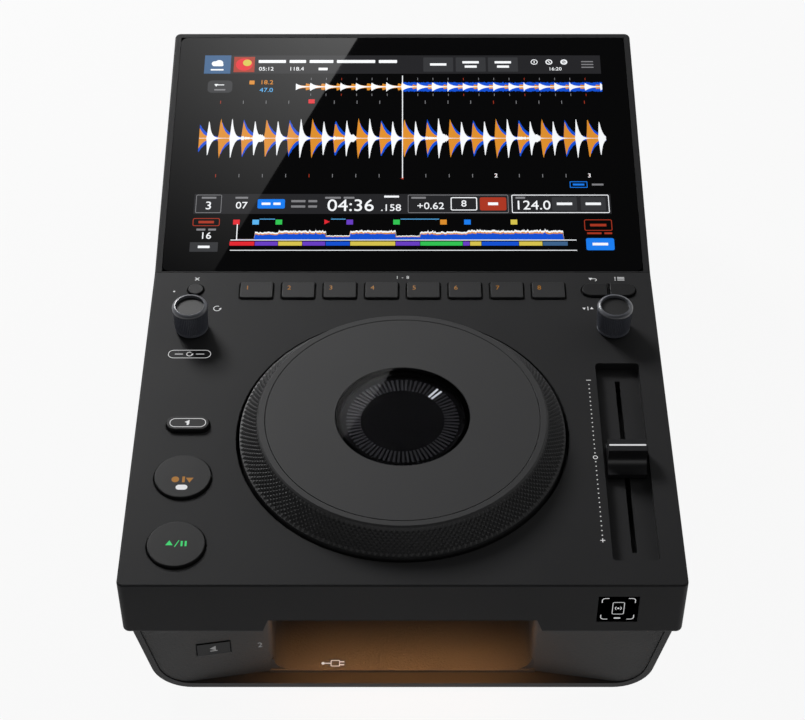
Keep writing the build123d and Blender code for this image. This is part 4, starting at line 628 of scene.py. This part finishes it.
WINDOW_Z = 67.5
PHONE_X, PHONE_Y = 0.1, 0.4
BRACKET_REACH, BRACKET_ARM, BRACKET_LINE = 5.9, 1.6, 0.4
CORNER_IN, CORNER_OUT = 1.25, 1.65
window_low, window_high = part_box("nfc_window")
window_x = (window_low.x + window_high.x) / 2 / MM
window_y = (window_low.y - FRONT) / MM
phone = bmesh.new()
frame_box(phone, PHONE_X, PHONE_Y, 5.4, 8.6, 0.3, 0.9)
disc(phone, PHONE_X, PHONE_Y, 0.5, 16)
for start in (-50, 130):
    arc(phone, PHONE_X, PHONE_Y, 1.15, 1.5, math.radians(start), math.radians(100), 10)
block(phone, 0, -6.6, 3.0, 0.8, 0, 0.35)
corner_line = (CORNER_IN + CORNER_OUT) / 2
for side in (-1, 1):
    for rise in (-1, 1):
        x, y = side * BRACKET_REACH, rise * BRACKET_REACH
        quarter = math.atan2(rise, side) - math.pi / 4
        arc(phone, x, y, CORNER_IN, CORNER_OUT, quarter, math.pi / 2, 8)
        block(phone, x - side * BRACKET_ARM / 2, y + rise * corner_line, BRACKET_ARM, BRACKET_LINE)
        block(phone, x + side * corner_line, y - rise * BRACKET_ARM / 2, BRACKET_LINE, BRACKET_ARM)
make_piece("front_window_signs", thicken(phone, upright_plane(window_x, window_y, WINDOW_Z)), "player",
           INK_WHITE_PAINTED_GLOW)

# %% Signs on the left fascia panel and the shelf's floor
EJECT_X, EJECT_Z = -87.0, 28.6
PANEL_Y, PANEL_LEAN = 8.0, math.radians(9.08)
EJECT_RISE = 0.5
PLUG_X, PLUG_Y = -31.6, 15.4
SHELF_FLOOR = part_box("front_fascia")[0].z / MM + 1.5
left_panel = upright_plane(EJECT_X, PANEL_Y, EJECT_Z, PANEL_LEAN)
panel_ink = bmesh.new()
words(panel_ink, "2", 21.4, -2.2, 3.4)
make_piece("shelf_number", thicken(panel_ink, left_panel, -0.05, 0.04), "player", INK_LABEL_PAINTED_GLOW)

floor_ink = bmesh.new()
frame_box(floor_ink, PLUG_X, PLUG_Y, 4.4, 3.6, 0.4, 0.6)
for rise in (-1, 1):
    block(floor_ink, PLUG_X + 3.2, PLUG_Y + rise * 0.85, 2.0, 0.55)
block(floor_ink, PLUG_X - 3.8, PLUG_Y, 3.4, 0.5)
disc(floor_ink, PLUG_X - 5.8, PLUG_Y, 0.75, 16)
make_piece("shelf_plug_sign", thicken(floor_ink, level(SHELF_FLOOR)), "player", INK_WHITE_PAINTED_GLOW)

eject_ink = bmesh.new()
disc(eject_ink, 0, 0.5, 1.9, 3, math.radians(90))
block(eject_ink, 0, -1.35, 3.4, 0.65)
make_piece("eject_mark", thicken(eject_ink, left_panel @ level(EJECT_RISE)), "eject_key",
           INK_LABEL_PAINTED_GLOW)

# %% [markdown]
# ## The back
# The sockets at the back are told apart by colour and number: a ring in each phono jack's colour, gold
# contacts and two lamps in the network socket, plated sleeves on the inlet's pins, and a sign on the
# power button. The same flat shapes serve, on planes that face backwards.

# %% Phono jacks and their numbers
JACK_BODY, JACK_PITCH, JACK_COLLAR = 14.0, 18.0, 0.6
COLLAR_IN, COLLAR_OUT = 4.2, 5.15
JACK_COLOURS = {"white": paint(225, 225, 222), "red": paint(190, 30, 28), "amber": paint(235, 130, 30)}
BACK_FACE = (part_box("rear_panel")[1].y - FRONT) / MM


def rear_plane(x, z, y=BACK_FACE):
    """A plane facing backwards."""
    return upright_plane(x, y, z, math.pi)


def rear_middle(node):
    """The middle of a part at the back and its outer face: x, z and y."""
    low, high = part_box(node)
    return (low.x + high.x) / 2 / MM, (low.z + high.z) / 2 / MM, (high.y - FRONT) / MM


jack_low, jack_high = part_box("rca_jacks")
jack_z = jack_high.z / MM - JACK_BODY / 2
rear_ink = bmesh.new()
for number, (colour, shade) in enumerate(JACK_COLOURS.items(), 1):
    jack_x = jack_low.x / MM + JACK_BODY / 2 + JACK_PITCH * (number - 1)
    ring = bmesh.new()
    arc(ring, 0, 0, COLLAR_IN, COLLAR_OUT, 0, math.tau, 48)
    thicken(ring, rear_plane(jack_x, jack_z, BACK_FACE + JACK_COLLAR), -0.02, 0.25)
    make_piece(f"phono_ring_{number}", ring, "player",
               moulded(f"phono_ring_{colour}", shade, 0.4, grain=0.3, depth=0.01))
    words(rear_ink, str(number), -jack_x, jack_z + 9.6, 2.6)
make_piece("rear_numbers", thicken(rear_ink, rear_plane(0, 0)), "player", INK_GREY)

# %% Network socket: contacts and lamps
CONTACT_COUNT, CONTACT_PITCH, CONTACT_TILT = 8, 1.02, math.radians(-6)
CONTACT_DEPTH, CONTACT_RISE = 5.5, 3.75
lan_x, lan_z = rear_middle("lan_socket")[:2]
contacts = bmesh.new()
for number in range(CONTACT_COUNT):
    block(contacts, (number - (CONTACT_COUNT - 1) / 2) * CONTACT_PITCH, 0, 0.4, 7.0)
contact_place = Matrix.Translation((lan_x, BACK_FACE - CONTACT_DEPTH, lan_z + CONTACT_RISE))
thicken(contacts, contact_place @ Matrix.Rotation(CONTACT_TILT, 4, "X"), -0.2, 0.1)
gold = moulded("contact_gold", paint(220, 170, 80), 0.25, grain=0.3, depth=0.004, metal=1.0)
make_piece("network_contacts", contacts, "player", gold)
for side, name, ink in ((-1, "left", INK_GREEN), (1, "right", INK_AMBER)):
    lamp = bmesh.new()
    block(lamp, side * 6.2, 5.3, 2.4, 1.4, 0, 0.2)
    make_piece(f"network_lamp_{name}", thicken(lamp, rear_plane(lan_x, lan_z), -0.02, 0.06), "player",
               ink)

# %% Mains inlet and power button
PIN_PITCH, PIN_RISE = 7.0, 2.0
SLEEVE_DEEP, SLEEVE_TIP = -15.9, -2.95
sleeves = bmesh.new()
for step in (-1, 0, 1):
    block(sleeves, -step * PIN_PITCH, -PIN_RISE if step else PIN_RISE, 2.1, 4.1)
thicken(sleeves, rear_plane(*rear_middle("ac_inlet")), SLEEVE_DEEP, SLEEVE_TIP)
make_piece("inlet_pin_sleeves", sleeves, "player", FINISHES["steel"])

power_mark = bmesh.new()
arc(power_mark, 0, 0, 1.35, 1.75, math.radians(125), math.radians(290), 24)
block(power_mark, 0, 1.3, 0.4, 1.9)
thicken(power_mark, rear_plane(*rear_middle("power_button")))
make_piece("power_mark", power_mark, "power_key", INK_GREY)

# %% [markdown]
# ## The screen's picture
# The screen shows two moving waves, an overview of the track, a header and rows of soft keys. A real
# one is a picture; here each colour is a thin lit mesh on the glass, so it stays sharp at any
# distance and survives an export. A wave is a strip of narrow columns whose upper edge follows the
# loudness of a beat: a hard start that dies away, roughened with noise. The layout and the numbers are
# made up, and names are only bars, as on a design sketch.

# %% The screen's plane and its colours
SCREEN_TILT = math.radians(9.67)
DECK_DEPTH = 203.0
SCREEN_PLANE = Matrix.Translation((0, DECK_DEPTH, DECK_TOP)) @ Matrix.Rotation(SCREEN_TILT, 4, "X")
HALF_PICTURE = 108.6
LAYER = 0.01
SCREEN_COLOURS = {
    "panel": (0.017, 0.017, 0.019),
    "plate": (0.034, 0.035, 0.038),
    "blue": (0.006, 0.075, 0.58),
    "sky": (0.10, 0.42, 0.80),
    "slate": (0.045, 0.115, 0.24),
    "brown": (0.36, 0.035, 0.015),
    "red": (0.70, 0.02, 0.03),
    "violet": (0.13, 0.045, 0.50),
    "green": (0.03, 0.50, 0.08),
    "yellow": (0.62, 0.50, 0.07),
    "amber": (0.66, 0.25, 0.025),
    "button": (0.010, 0.19, 0.80),
    "grey": (0.20, 0.20, 0.21),
    "white": (0.86, 0.88, 0.90),
}
picture = {colour: bmesh.new() for colour in SCREEN_COLOURS}


def slab(colour, *shape):
    """A filled rectangle in one of the screen's colours."""
    block(picture[colour], *shape)


# %% Waves
def rough(x, seed):
    """A steady hiss from 0 to 1."""
    return 0.5 + 0.5 * noise.noise(Vector((x * 1.7, seed, 0.3)))


def wave(colour, start, end, line, up, down, step=0.45):
    """A filled wave along a line: up and down give its reach above and below at each x."""
    bm = picture[colour]
    columns = max(1, round((end - start) / step))
    place = Matrix.Translation(((start + end) / 2, line, 0)) @ Matrix.Diagonal((end - start, 1, 1, 1))
    made = bmesh.ops.create_grid(bm, x_segments=columns, y_segments=1, size=0.5, matrix=place)
    for point in made["verts"]:
        above = point.co.y > line
        point.co.y = line + (up(point.co.x) if above else -down(point.co.x))


def both(colour, start, end, line, reach, step=0.45):
    """A wave that reaches as far below its line as above."""
    wave(colour, start, end, line, reach, reach, step)


BEAT, ATTACK = 12.3, 0.07
WAVE_LINE = 90.5
UPPER_TICKS, LOWER_TICKS = 116.4, 64.4
ZOOM_X, ZOOM_Y = 92.4, 58.3


def struck(x, offset, decay, seed):
    """The loudness of a sound struck once a beat: a quick rise, then a fall."""
    since = (x / BEAT + offset) % 1.0
    fall = math.exp(-(since - ATTACK) * decay) if since > ATTACK else since / ATTACK
    return fall * (0.86 + 0.14 * rough(x * 3, seed))


def in_bar(x, every, pick):
    """Is this beat one of those that carry an accent?"""
    return math.floor(x / BEAT) % every == pick


def bass(x):
    """The lowest sounds: a long note from each beat."""
    return 0.3 + 14.2 * struck(x, 0, 3.0, 1.0)


def drum(x):
    """The middle sounds: a shorter note, stronger on every other beat."""
    return 0.3 + (15.4 if in_bar(x, 2, 0) else 12.4) * struck(x, 0, 5.0, 4.0)


def cymbal(x):
    """The highest sounds: a tap between beats, and a longer hiss on every fourth."""
    hiss = 3.0 * rough(x * 2, 3) * struck(x, 0.25, 2.0, 6.0) if in_bar(x, 4, 1) else 0.0
    return 0.12 + (16.6 if in_bar(x, 3, 1) else 14.4) * struck(x, 0.5, 9.5, 9.0) + hiss


both("blue", -HALF_PICTURE, HALF_PICTURE, WAVE_LINE, bass)
both("amber", -HALF_PICTURE, HALF_PICTURE, WAVE_LINE, drum)
both("white", -HALF_PICTURE, HALF_PICTURE, WAVE_LINE, cymbal, 0.3)
for beat in range(-8, 9):
    for row in (UPPER_TICKS, LOWER_TICKS):
        slab("grey" if beat % 4 else "brown", beat * BEAT, row, 0.35, 2.2)
words(picture["white"], "2", 4 * BEAT, LOWER_TICKS, 2.6)
words(picture["white"], "3", 8 * BEAT, LOWER_TICKS, 2.6)
slab("red", -4 * BEAT, UPPER_TICKS + 0.6, 3.4, 3.0, 0, 0.4)
slab("white", 0, 99.3, 0.5, 73)
disc(picture["brown"], 0, 62.6, 1.0, 3, math.radians(90))
frame_box(picture["button"], ZOOM_X, ZOOM_Y, 9.2, 4.2, 0.35, 0.3)
slab("button", ZOOM_X, ZOOM_Y, 6.0, 1.1)
slab("grey", ZOOM_X + 10.0, ZOOM_Y, 6.0, 1.1)

# %% The wave of the whole bar, above
OVER_LINE, OVER_START, OVER_BEAT, NOW = 127.6, -58.0, 8.3, 0.3


def pulse(x, decay, seed):
    """The loudness of the smaller wave, with a few louder places."""
    since = (x / OVER_BEAT + 0.06) % 1.0
    return math.exp(-since * decay) * (0.55 + 0.45 * rough(math.floor(x / OVER_BEAT) * 1.3, seed))


def filling(x):
    """The smaller wave's body, lower after the present moment."""
    return 0.3 + (3.4 if x < NOW else 1.9) * pulse(x + 2.2, 1.6, 2.0) * (0.6 + 0.6 * rough(x * 1.5, 4.0))


both("blue", NOW, HALF_PICTURE, OVER_LINE, lambda x: 2.5 + 1.5 * rough(x * 0.8, 8.0), 0.4)
both("amber", OVER_START, HALF_PICTURE, OVER_LINE, filling, 0.4)
both("white", OVER_START, HALF_PICTURE, OVER_LINE, lambda x: 0.12 + 4.1 * pulse(x, 3.4, 5.0), 0.3)
for tick in range(-6, 13):
    for side in (-1, 1):
        slab("grey" if tick % 4 else "brown", tick * OVER_BEAT, OVER_LINE + side * 5.8, 0.3, 1.6)
slab("amber", -82.0, 130.8, 2.8, 2.8, 0, 0.3)
words(picture["amber"], "18.2", -74.0, 130.8, 3.0)
words(picture["sky"], "47.0", -74.0, 125.2, 3.0)
slab("plate", -99.3, 127.8, 13.4, 9.0, 0, 2.4)
disc(picture["white"], -101.4, 129.0, 1.2, 3, math.pi)
slab("white", -98.9, 129.0, 3.6, 0.5)
slab("grey", -99.3, 125.4, 6.0, 1.0)


# %% Header and information strip
def bars(colour, x, y, height, widths, gap=1.5):
    """A line of writing drawn as plain bars, from x to the right."""
    for width in widths:
        slab(colour, x + width / 2, y, width, height, 0, 0.2)
        x += width + gap


HEADER, STRIP = 144.2, 45.2
slab("panel", 0, HEADER, 2 * HALF_PICTURE, 13.6)
slab("slate", -101.4, HEADER, 14.4, 13.6)
disc(picture["white"], -103.0, HEADER + 0.6, 1.7, 24)
disc(picture["white"], -100.6, HEADER + 1.0, 2.2, 24)
slab("white", -101.2, HEADER - 0.4, 6.0, 1.8, 0, 0.8)
bars("white", -105.0, HEADER - 4.0, 1.0, (7.0,))
slab("brown", -86.8, HEADER, 11.4, 11.4)
disc(picture["red"], -86.8, HEADER, 4.6, 32)
disc(picture["yellow"], -85.2, HEADER + 1.2, 2.4, 24)
bars("white", -79.0, HEADER + 2.2, 2.1, (15, 9, 13, 21, 10), 2.0)
words(picture["white"], "05:12", -74.6, HEADER - 3.4, 2.6)
words(picture["white"], "118.4", -58.0, HEADER - 3.4, 2.6)
bars("white", -46.0, HEADER - 3.4, 1.8, (5,))
for x, lines in ((19.6, 1), (37.4, 2), (55.1, 2)):
    slab("plate", x, HEADER, 16.4, 10.6, 0, 0.5)
    for line in range(lines):
        slab("white", x, HEADER + (lines - 1) * (1.6 - 3.2 * line), 9.0 - 2.4 * line, 1.6, 0, 0.2)
for number, x in enumerate((72.3, 80.4, 88.6)):
    hollow(picture["white"], disc(picture["white"], x, HEADER + 1.8, 1.9, 24), 0.4 + 0.2 * number)
    slab("white", x, HEADER + 1.8, 0.5, 1.7, math.radians(40 * number))
words(picture["white"], "16:20", 83.6, HEADER - 3.4, 2.3)
for bar in (-1, 0, 1):
    slab("grey", 101.4, HEADER + 2.1 * bar, 6.6, 0.7)

slab("panel", 0, STRIP, 2 * HALF_PICTURE, 13.4)
STRIP_FRAMES = ((-101, 13.4, 0.3, "grey"), (29, 52.4, 0.3, "grey"), (82.3, 50.8, 0.4, "white"))
for x, width, line, colour in STRIP_FRAMES:
    frame_box(picture[colour], x, STRIP, width, 12.2, line, 0.8)
for x, label in ((-104.8, (7.6,)), (-87.2, (6.6,)), (-40.4, (8.2, 5.6)), (4.6, (7.6,)), (59.0, (5.0,))):
    bars("grey", x, STRIP + 4.1, 1.2, label)
bars("white", -9.6, STRIP + 4.9, 1.2, (7.8,))
READINGS = (("3", -101, 1.4, 5.2), ("07", -83.8, 1.2, 4.4), ("04:36", -27.0, 1.4, 7.8),
            (".158", -6.0, 2.8, 4.4), ("+0.62", 14.6, 1.6, 4.4), ("8", 32, 0, 4.2),
            ("124.0", 67.8, 1.2, 6.0))
for text, x, drop, height in READINGS:
    words(picture["white"], text, x, STRIP - drop, height)
slab("button", -68.4, STRIP, 14.2, 6.2, 0, 0.8)
bars("white", -73.4, STRIP, 1.6, (4.6, 3.8))
for rise in (-1.8, 1.8):
    bars("grey", -58.0, STRIP + rise, 1.4, (7.4, 4.6))
frame_box(picture["white"], 32, STRIP, 13.8, 8.8, 0.5, 1.0)
slab("brown", 47.2, STRIP, 13.8, 8.8, 0, 1.0)
slab("white", 47.2, STRIP, 5.2, 1.8)
for x in (84.4, 99.4):
    slab("plate", x, STRIP, 13.0, 9.0, 0, 0.5)
    slab("white", x, STRIP, 8.0, 1.6)

# %% Track overview and cue marks
TRACK_START, TRACK_END, TRACK_LINE = -86, 84, 21.4
CUE_ROW, LOOP_ROW, PHRASE_ROW = 33.0, 35.0, 18.8
LOUD = [(-76.4, 0.82), (-64, 0.96), (-39.6, 0.45), (-27, 0.98), (-3.6, 0.42), (9, 0.86),
        (33.4, 1.0), (83, 0.0)]
PHRASES = [(-89, "red"), (-76, "violet"), (-64, "yellow"), (-51.5, "violet"), (-39.6, "blue"),
           (-27, "yellow"), (-3.6, "violet"), (9, "green"), (31, "violet"), (34.6, "yellow"),
           (40.6, "blue"), (59.8, "yellow"), (72, "slate"), (85, "")]
CUES = [(-86, "red"), (-76, "sky"), (-64, "green"), (-27.3, "violet"), (-3.1, "green"),
        (21.2, "amber"), (33.6, "button"), (57.7, "yellow")]
LOOPS = [(-74, -66), (-37, -29.5), (-1, 19)]


def loudness(x):
    """The whole track's outline: steady passages with rough edges."""
    steady = [value for start, value in LOUD if start <= x]
    spikes = 2.2 * rough(x * 2.6, 7.5) ** 3 + 1.2 * rough(x * 0.5, 2.5)
    return (steady[-1] if steady else 0.03) * (5.0 + spikes)


BANDS = (("white", 1.0, 0.80, 0.4), ("amber", 0.84, 0.66, 0.5), ("blue", 0.70, 0.0, 0.5))
for colour, top, bottom, step in BANDS:
    wave(colour, TRACK_START, TRACK_END, TRACK_LINE, lambda x: top * loudness(x),
         lambda x: -bottom * loudness(x), step)
for y, line in ((TRACK_LINE - 0.3, 0.4), (14.4, 0.35)):
    slab("white", 0.5, y, 178, line)
slab("white", -85.4, 26.4, 0.5, 10.2)
for (start, colour), (end, _next) in zip(PHRASES, PHRASES[1:]):
    slab(colour, (start + end) / 2, PHRASE_ROW, end - start - 0.3, 2.6)
    slab("panel", start + 3.2, PHRASE_ROW, 3.6, 0.8)
for x, colour in CUES:
    slab(colour, x, CUE_ROW, 3.4, 3.2)
    slab("panel", x, CUE_ROW, 0.8, 1.8)
disc(picture["red"], -39.5, CUE_ROW + 0.2, 1.9, 3, math.radians(-90))
for start, end in LOOPS:
    slab("sky", (start + end) / 2, LOOP_ROW, end - start, 0.4)

# %% Soft keys at the sides, and the finished picture
for x, y, width, height in ((-101.6, 33.0, 14.0, 5.2), (101.2, 31.0, 14.4, 7.4)):
    frame_box(picture["brown"], x, y, width, height, 0.4, 1.0)
    slab("brown", x, y, width - 6, 1.6)
bars("grey", -106.4, 28.0, 1.2, (4.6, 4.0))
words(picture["white"], "16", -101.4, 23.8, 4.2)
slab("plate", -102.0, 16.6, 14.4, 6.2, 0, 0.3)
slab("white", -102.0, 16.6, 6.0, 1.5)
bars("brown", 95.2, 25.6, 1.1, (7.4, 4.0))
slab("button", 101.6, 18.4, 14.4, 7.8, 0, 1.0)
slab("white", 101.6, 18.4, 8.0, 1.7)
for number, (name, colour) in enumerate(SCREEN_COLOURS.items()):
    layer = thicken(picture[name], SCREEN_PLANE, -0.02, 0.02 + LAYER * number)
    ink = lit(f"screen_{name}", (*colour, 1), 1.0, 0.018)
    make_piece(f"screen_{name}", layer, "player", ink)

# %% [markdown]
# ## Floor, light and camera
# The player stands on a pale floor that runs out to white. Light comes from a large softbox high at
# the back left, which also shows as a wedge in the glass, a smaller key from the same side that casts
# the shadows, and a weak fill. The floor and the world are bright to the camera and in reflections,
# through Light Path, while the lamps stay at a plain level.

# %% The floor
def seen_rays(tree):
    """1 for camera, glossy and transmission rays, and 0 for the rest."""
    path = add_node(tree, "LightPath")
    total = path.outputs["Is Camera Ray"]
    for name in ("Is Glossy Ray", "Is Transmission Ray"):
        larger = add_node(tree, "Math", operation="MAXIMUM")
        tree.links.new(total, larger.inputs[0])
        tree.links.new(path.outputs[name], larger.inputs[1])
        total = larger.outputs[0]
    return total


def flat_square(name, half_size, place, finish):
    """A flat square of the set round the player."""
    bm = bmesh.new()
    bmesh.ops.create_grid(bm, x_segments=1, y_segments=1, size=half_size, matrix=place)
    mesh = bpy.data.meshes.new(name)
    bm.to_mesh(mesh)
    bm.free()
    mesh.materials.append(finish)
    square = bpy.data.objects.new(name, mesh)
    scene.collection.objects.link(square)
    return square


floor_finish = bpy.data.materials.new("floor_white")
floor_finish.use_nodes = True
tree = floor_finish.node_tree
link, floor_base = tree.links.new, tree.nodes["Principled BSDF"]
floor_base.inputs["Base Color"].default_value = (0.38, 0.38, 0.38, 1)
floor_base.inputs["Roughness"].default_value = 0.9
floor_glow = add_node(tree, "Emission", {"Color": (1, 1, 1, 1)})
share = add_node(tree, "Math", {1: 0.93}, operation="MULTIPLY")
floor_mix = add_node(tree, "MixShader")
link(seen_rays(tree), share.inputs[0])
link(share.outputs[0], floor_mix.inputs["Fac"])
link(floor_base.outputs["BSDF"], floor_mix.inputs[1])
link(floor_glow.outputs["Emission"], floor_mix.inputs[2])
link(floor_mix.outputs["Shader"], tree.nodes["Material Output"].inputs["Surface"])
floor = flat_square("floor", 6, Matrix(), floor_finish)

# %% The world
world = bpy.data.worlds.new("studio")
scene.world = world
world.use_nodes = True
tree = world.node_tree
link, room = tree.links.new, tree.nodes["Background"]
room.inputs["Color"].default_value = (1, 1, 1, 1)
room.inputs["Strength"].default_value = 0.12
wall = add_node(tree, "Background")
place = add_node(tree, "TexCoord")
height = add_node(tree, "SeparateXYZ")
fade = add_node(tree, "MapRange", {"From Min": 0.20, "From Max": 0.62, "To Min": 1.0, "To Max": 0.05})
blend = add_node(tree, "MixShader")
link(place.outputs["Generated"], height.inputs["Vector"])
link(height.outputs["Z"], fade.inputs["Value"])
link(fade.outputs["Result"], wall.inputs["Strength"])
link(seen_rays(tree), blend.inputs["Fac"])
link(room.outputs["Background"], blend.inputs[1])
link(wall.outputs["Background"], blend.inputs[2])
link(blend.outputs["Shader"], tree.nodes["World Output"].inputs["Surface"])

# %% [markdown]
# The softbox that the glass reflects is a sheet above and behind the player. Its straight right edge
# draws the wedge's edge on the glass, and its glow fades away from one corner, so the wedge fades too.
# It is a thin mesh with a soft round gradient, and the camera doesn't see it.

# %% The softbox in the glass
SHEET_Z = 1.12
SHEET_EDGE = Vector((-0.055, 0.866, SHEET_Z))
SHEET_TURN = math.radians(-26.8)
SHEET_SIZE = 1.0
GLOW_AT = Vector((-0.03, 0.98, SHEET_Z))
GLOW_REACH = 0.58
GLOW_PEAK = 3.0
sheet_finish = bpy.data.materials.new("light_sheet_glow")
sheet_finish.use_nodes = True
tree = sheet_finish.node_tree
link = tree.links.new
tree.nodes.remove(tree.nodes["Principled BSDF"])
place = add_node(tree, "TexCoord")
centred = add_node(tree, "Mapping", {"Location": GLOW_AT, "Scale": (GLOW_REACH,) * 3}, vector_type="TEXTURE")
glow = add_node(tree, "TexGradient", gradient_type="QUADRATIC_SPHERE")
peak = add_node(tree, "Math", {1: GLOW_PEAK}, operation="MULTIPLY")
lamp_light = add_node(tree, "Emission")
link(place.outputs["Object"], centred.inputs["Vector"])
link(centred.outputs["Vector"], glow.inputs["Vector"])
link(glow.outputs["Fac"], peak.inputs[0])
link(peak.outputs[0], lamp_light.inputs["Strength"])
link(lamp_light.outputs["Emission"], tree.nodes["Material Output"].inputs["Surface"])
sheet_turned = Matrix.Translation(SHEET_EDGE) @ Matrix.Rotation(SHEET_TURN, 4, "Z")
sheet_place = sheet_turned @ Matrix.Translation((-SHEET_SIZE / 2, 0, 0))
light_sheet = flat_square("light_sheet", SHEET_SIZE / 2, sheet_place, sheet_finish)
light_sheet.visible_camera = False


# %% The lamps
def softbox(name, at, aim, width, depth, power, roll=0.0, colour=(1, 1, 1)):
    """A rectangular lamp at a point, turned towards another."""
    lamp = bpy.data.lights.new(name, "AREA")
    lamp.shape = "RECTANGLE"
    lamp.size, lamp.size_y = width, depth
    lamp.energy = power
    lamp.color = colour
    holder = bpy.data.objects.new(name, lamp)
    turn = (Vector(aim) - Vector(at)).to_track_quat("-Z", "Y").to_matrix().to_4x4()
    holder.matrix_world = Matrix.Translation(at) @ turn @ Matrix.Rotation(roll, 4, "Z")
    holder.visible_camera = False
    scene.collection.objects.link(holder)
    return holder


softbox("key_left", (-0.50, 0.76, 0.68), (0, 0, 0.05), 0.32, 0.32, 9.3)
softbox("fill_right", (1.3, 0.6, 1.2), (0, 0, 0.05), 1.0, 1.0, 3)
bar_low, bar_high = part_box("light_bar")
lamp_x, lamp_y = (bar_low.x + bar_high.x) / 2, bar_low.y
shelf_lamp = softbox("shelf_lamp", (lamp_x, lamp_y, bar_low.z - 1 * MM), (lamp_x, lamp_y - 8 * MM, 0),
                     0.11, 0.005, 0.021, colour=(1.0, 0.44, 0.14))
shelf_lamp.data.spread = math.radians(95)

# %% The camera
camera_data = bpy.data.cameras.new("camera")
camera_data.sensor_width = 36
camera_data.lens = 92.35
camera = bpy.data.objects.new("camera", camera_data)
camera.location = (0, -0.75464, 0.79553)
camera.rotation_euler = (math.radians(44.96), 0, 0)
scene.collection.objects.link(camera)
scene.camera = camera
scene.view_settings.view_transform = "Standard"
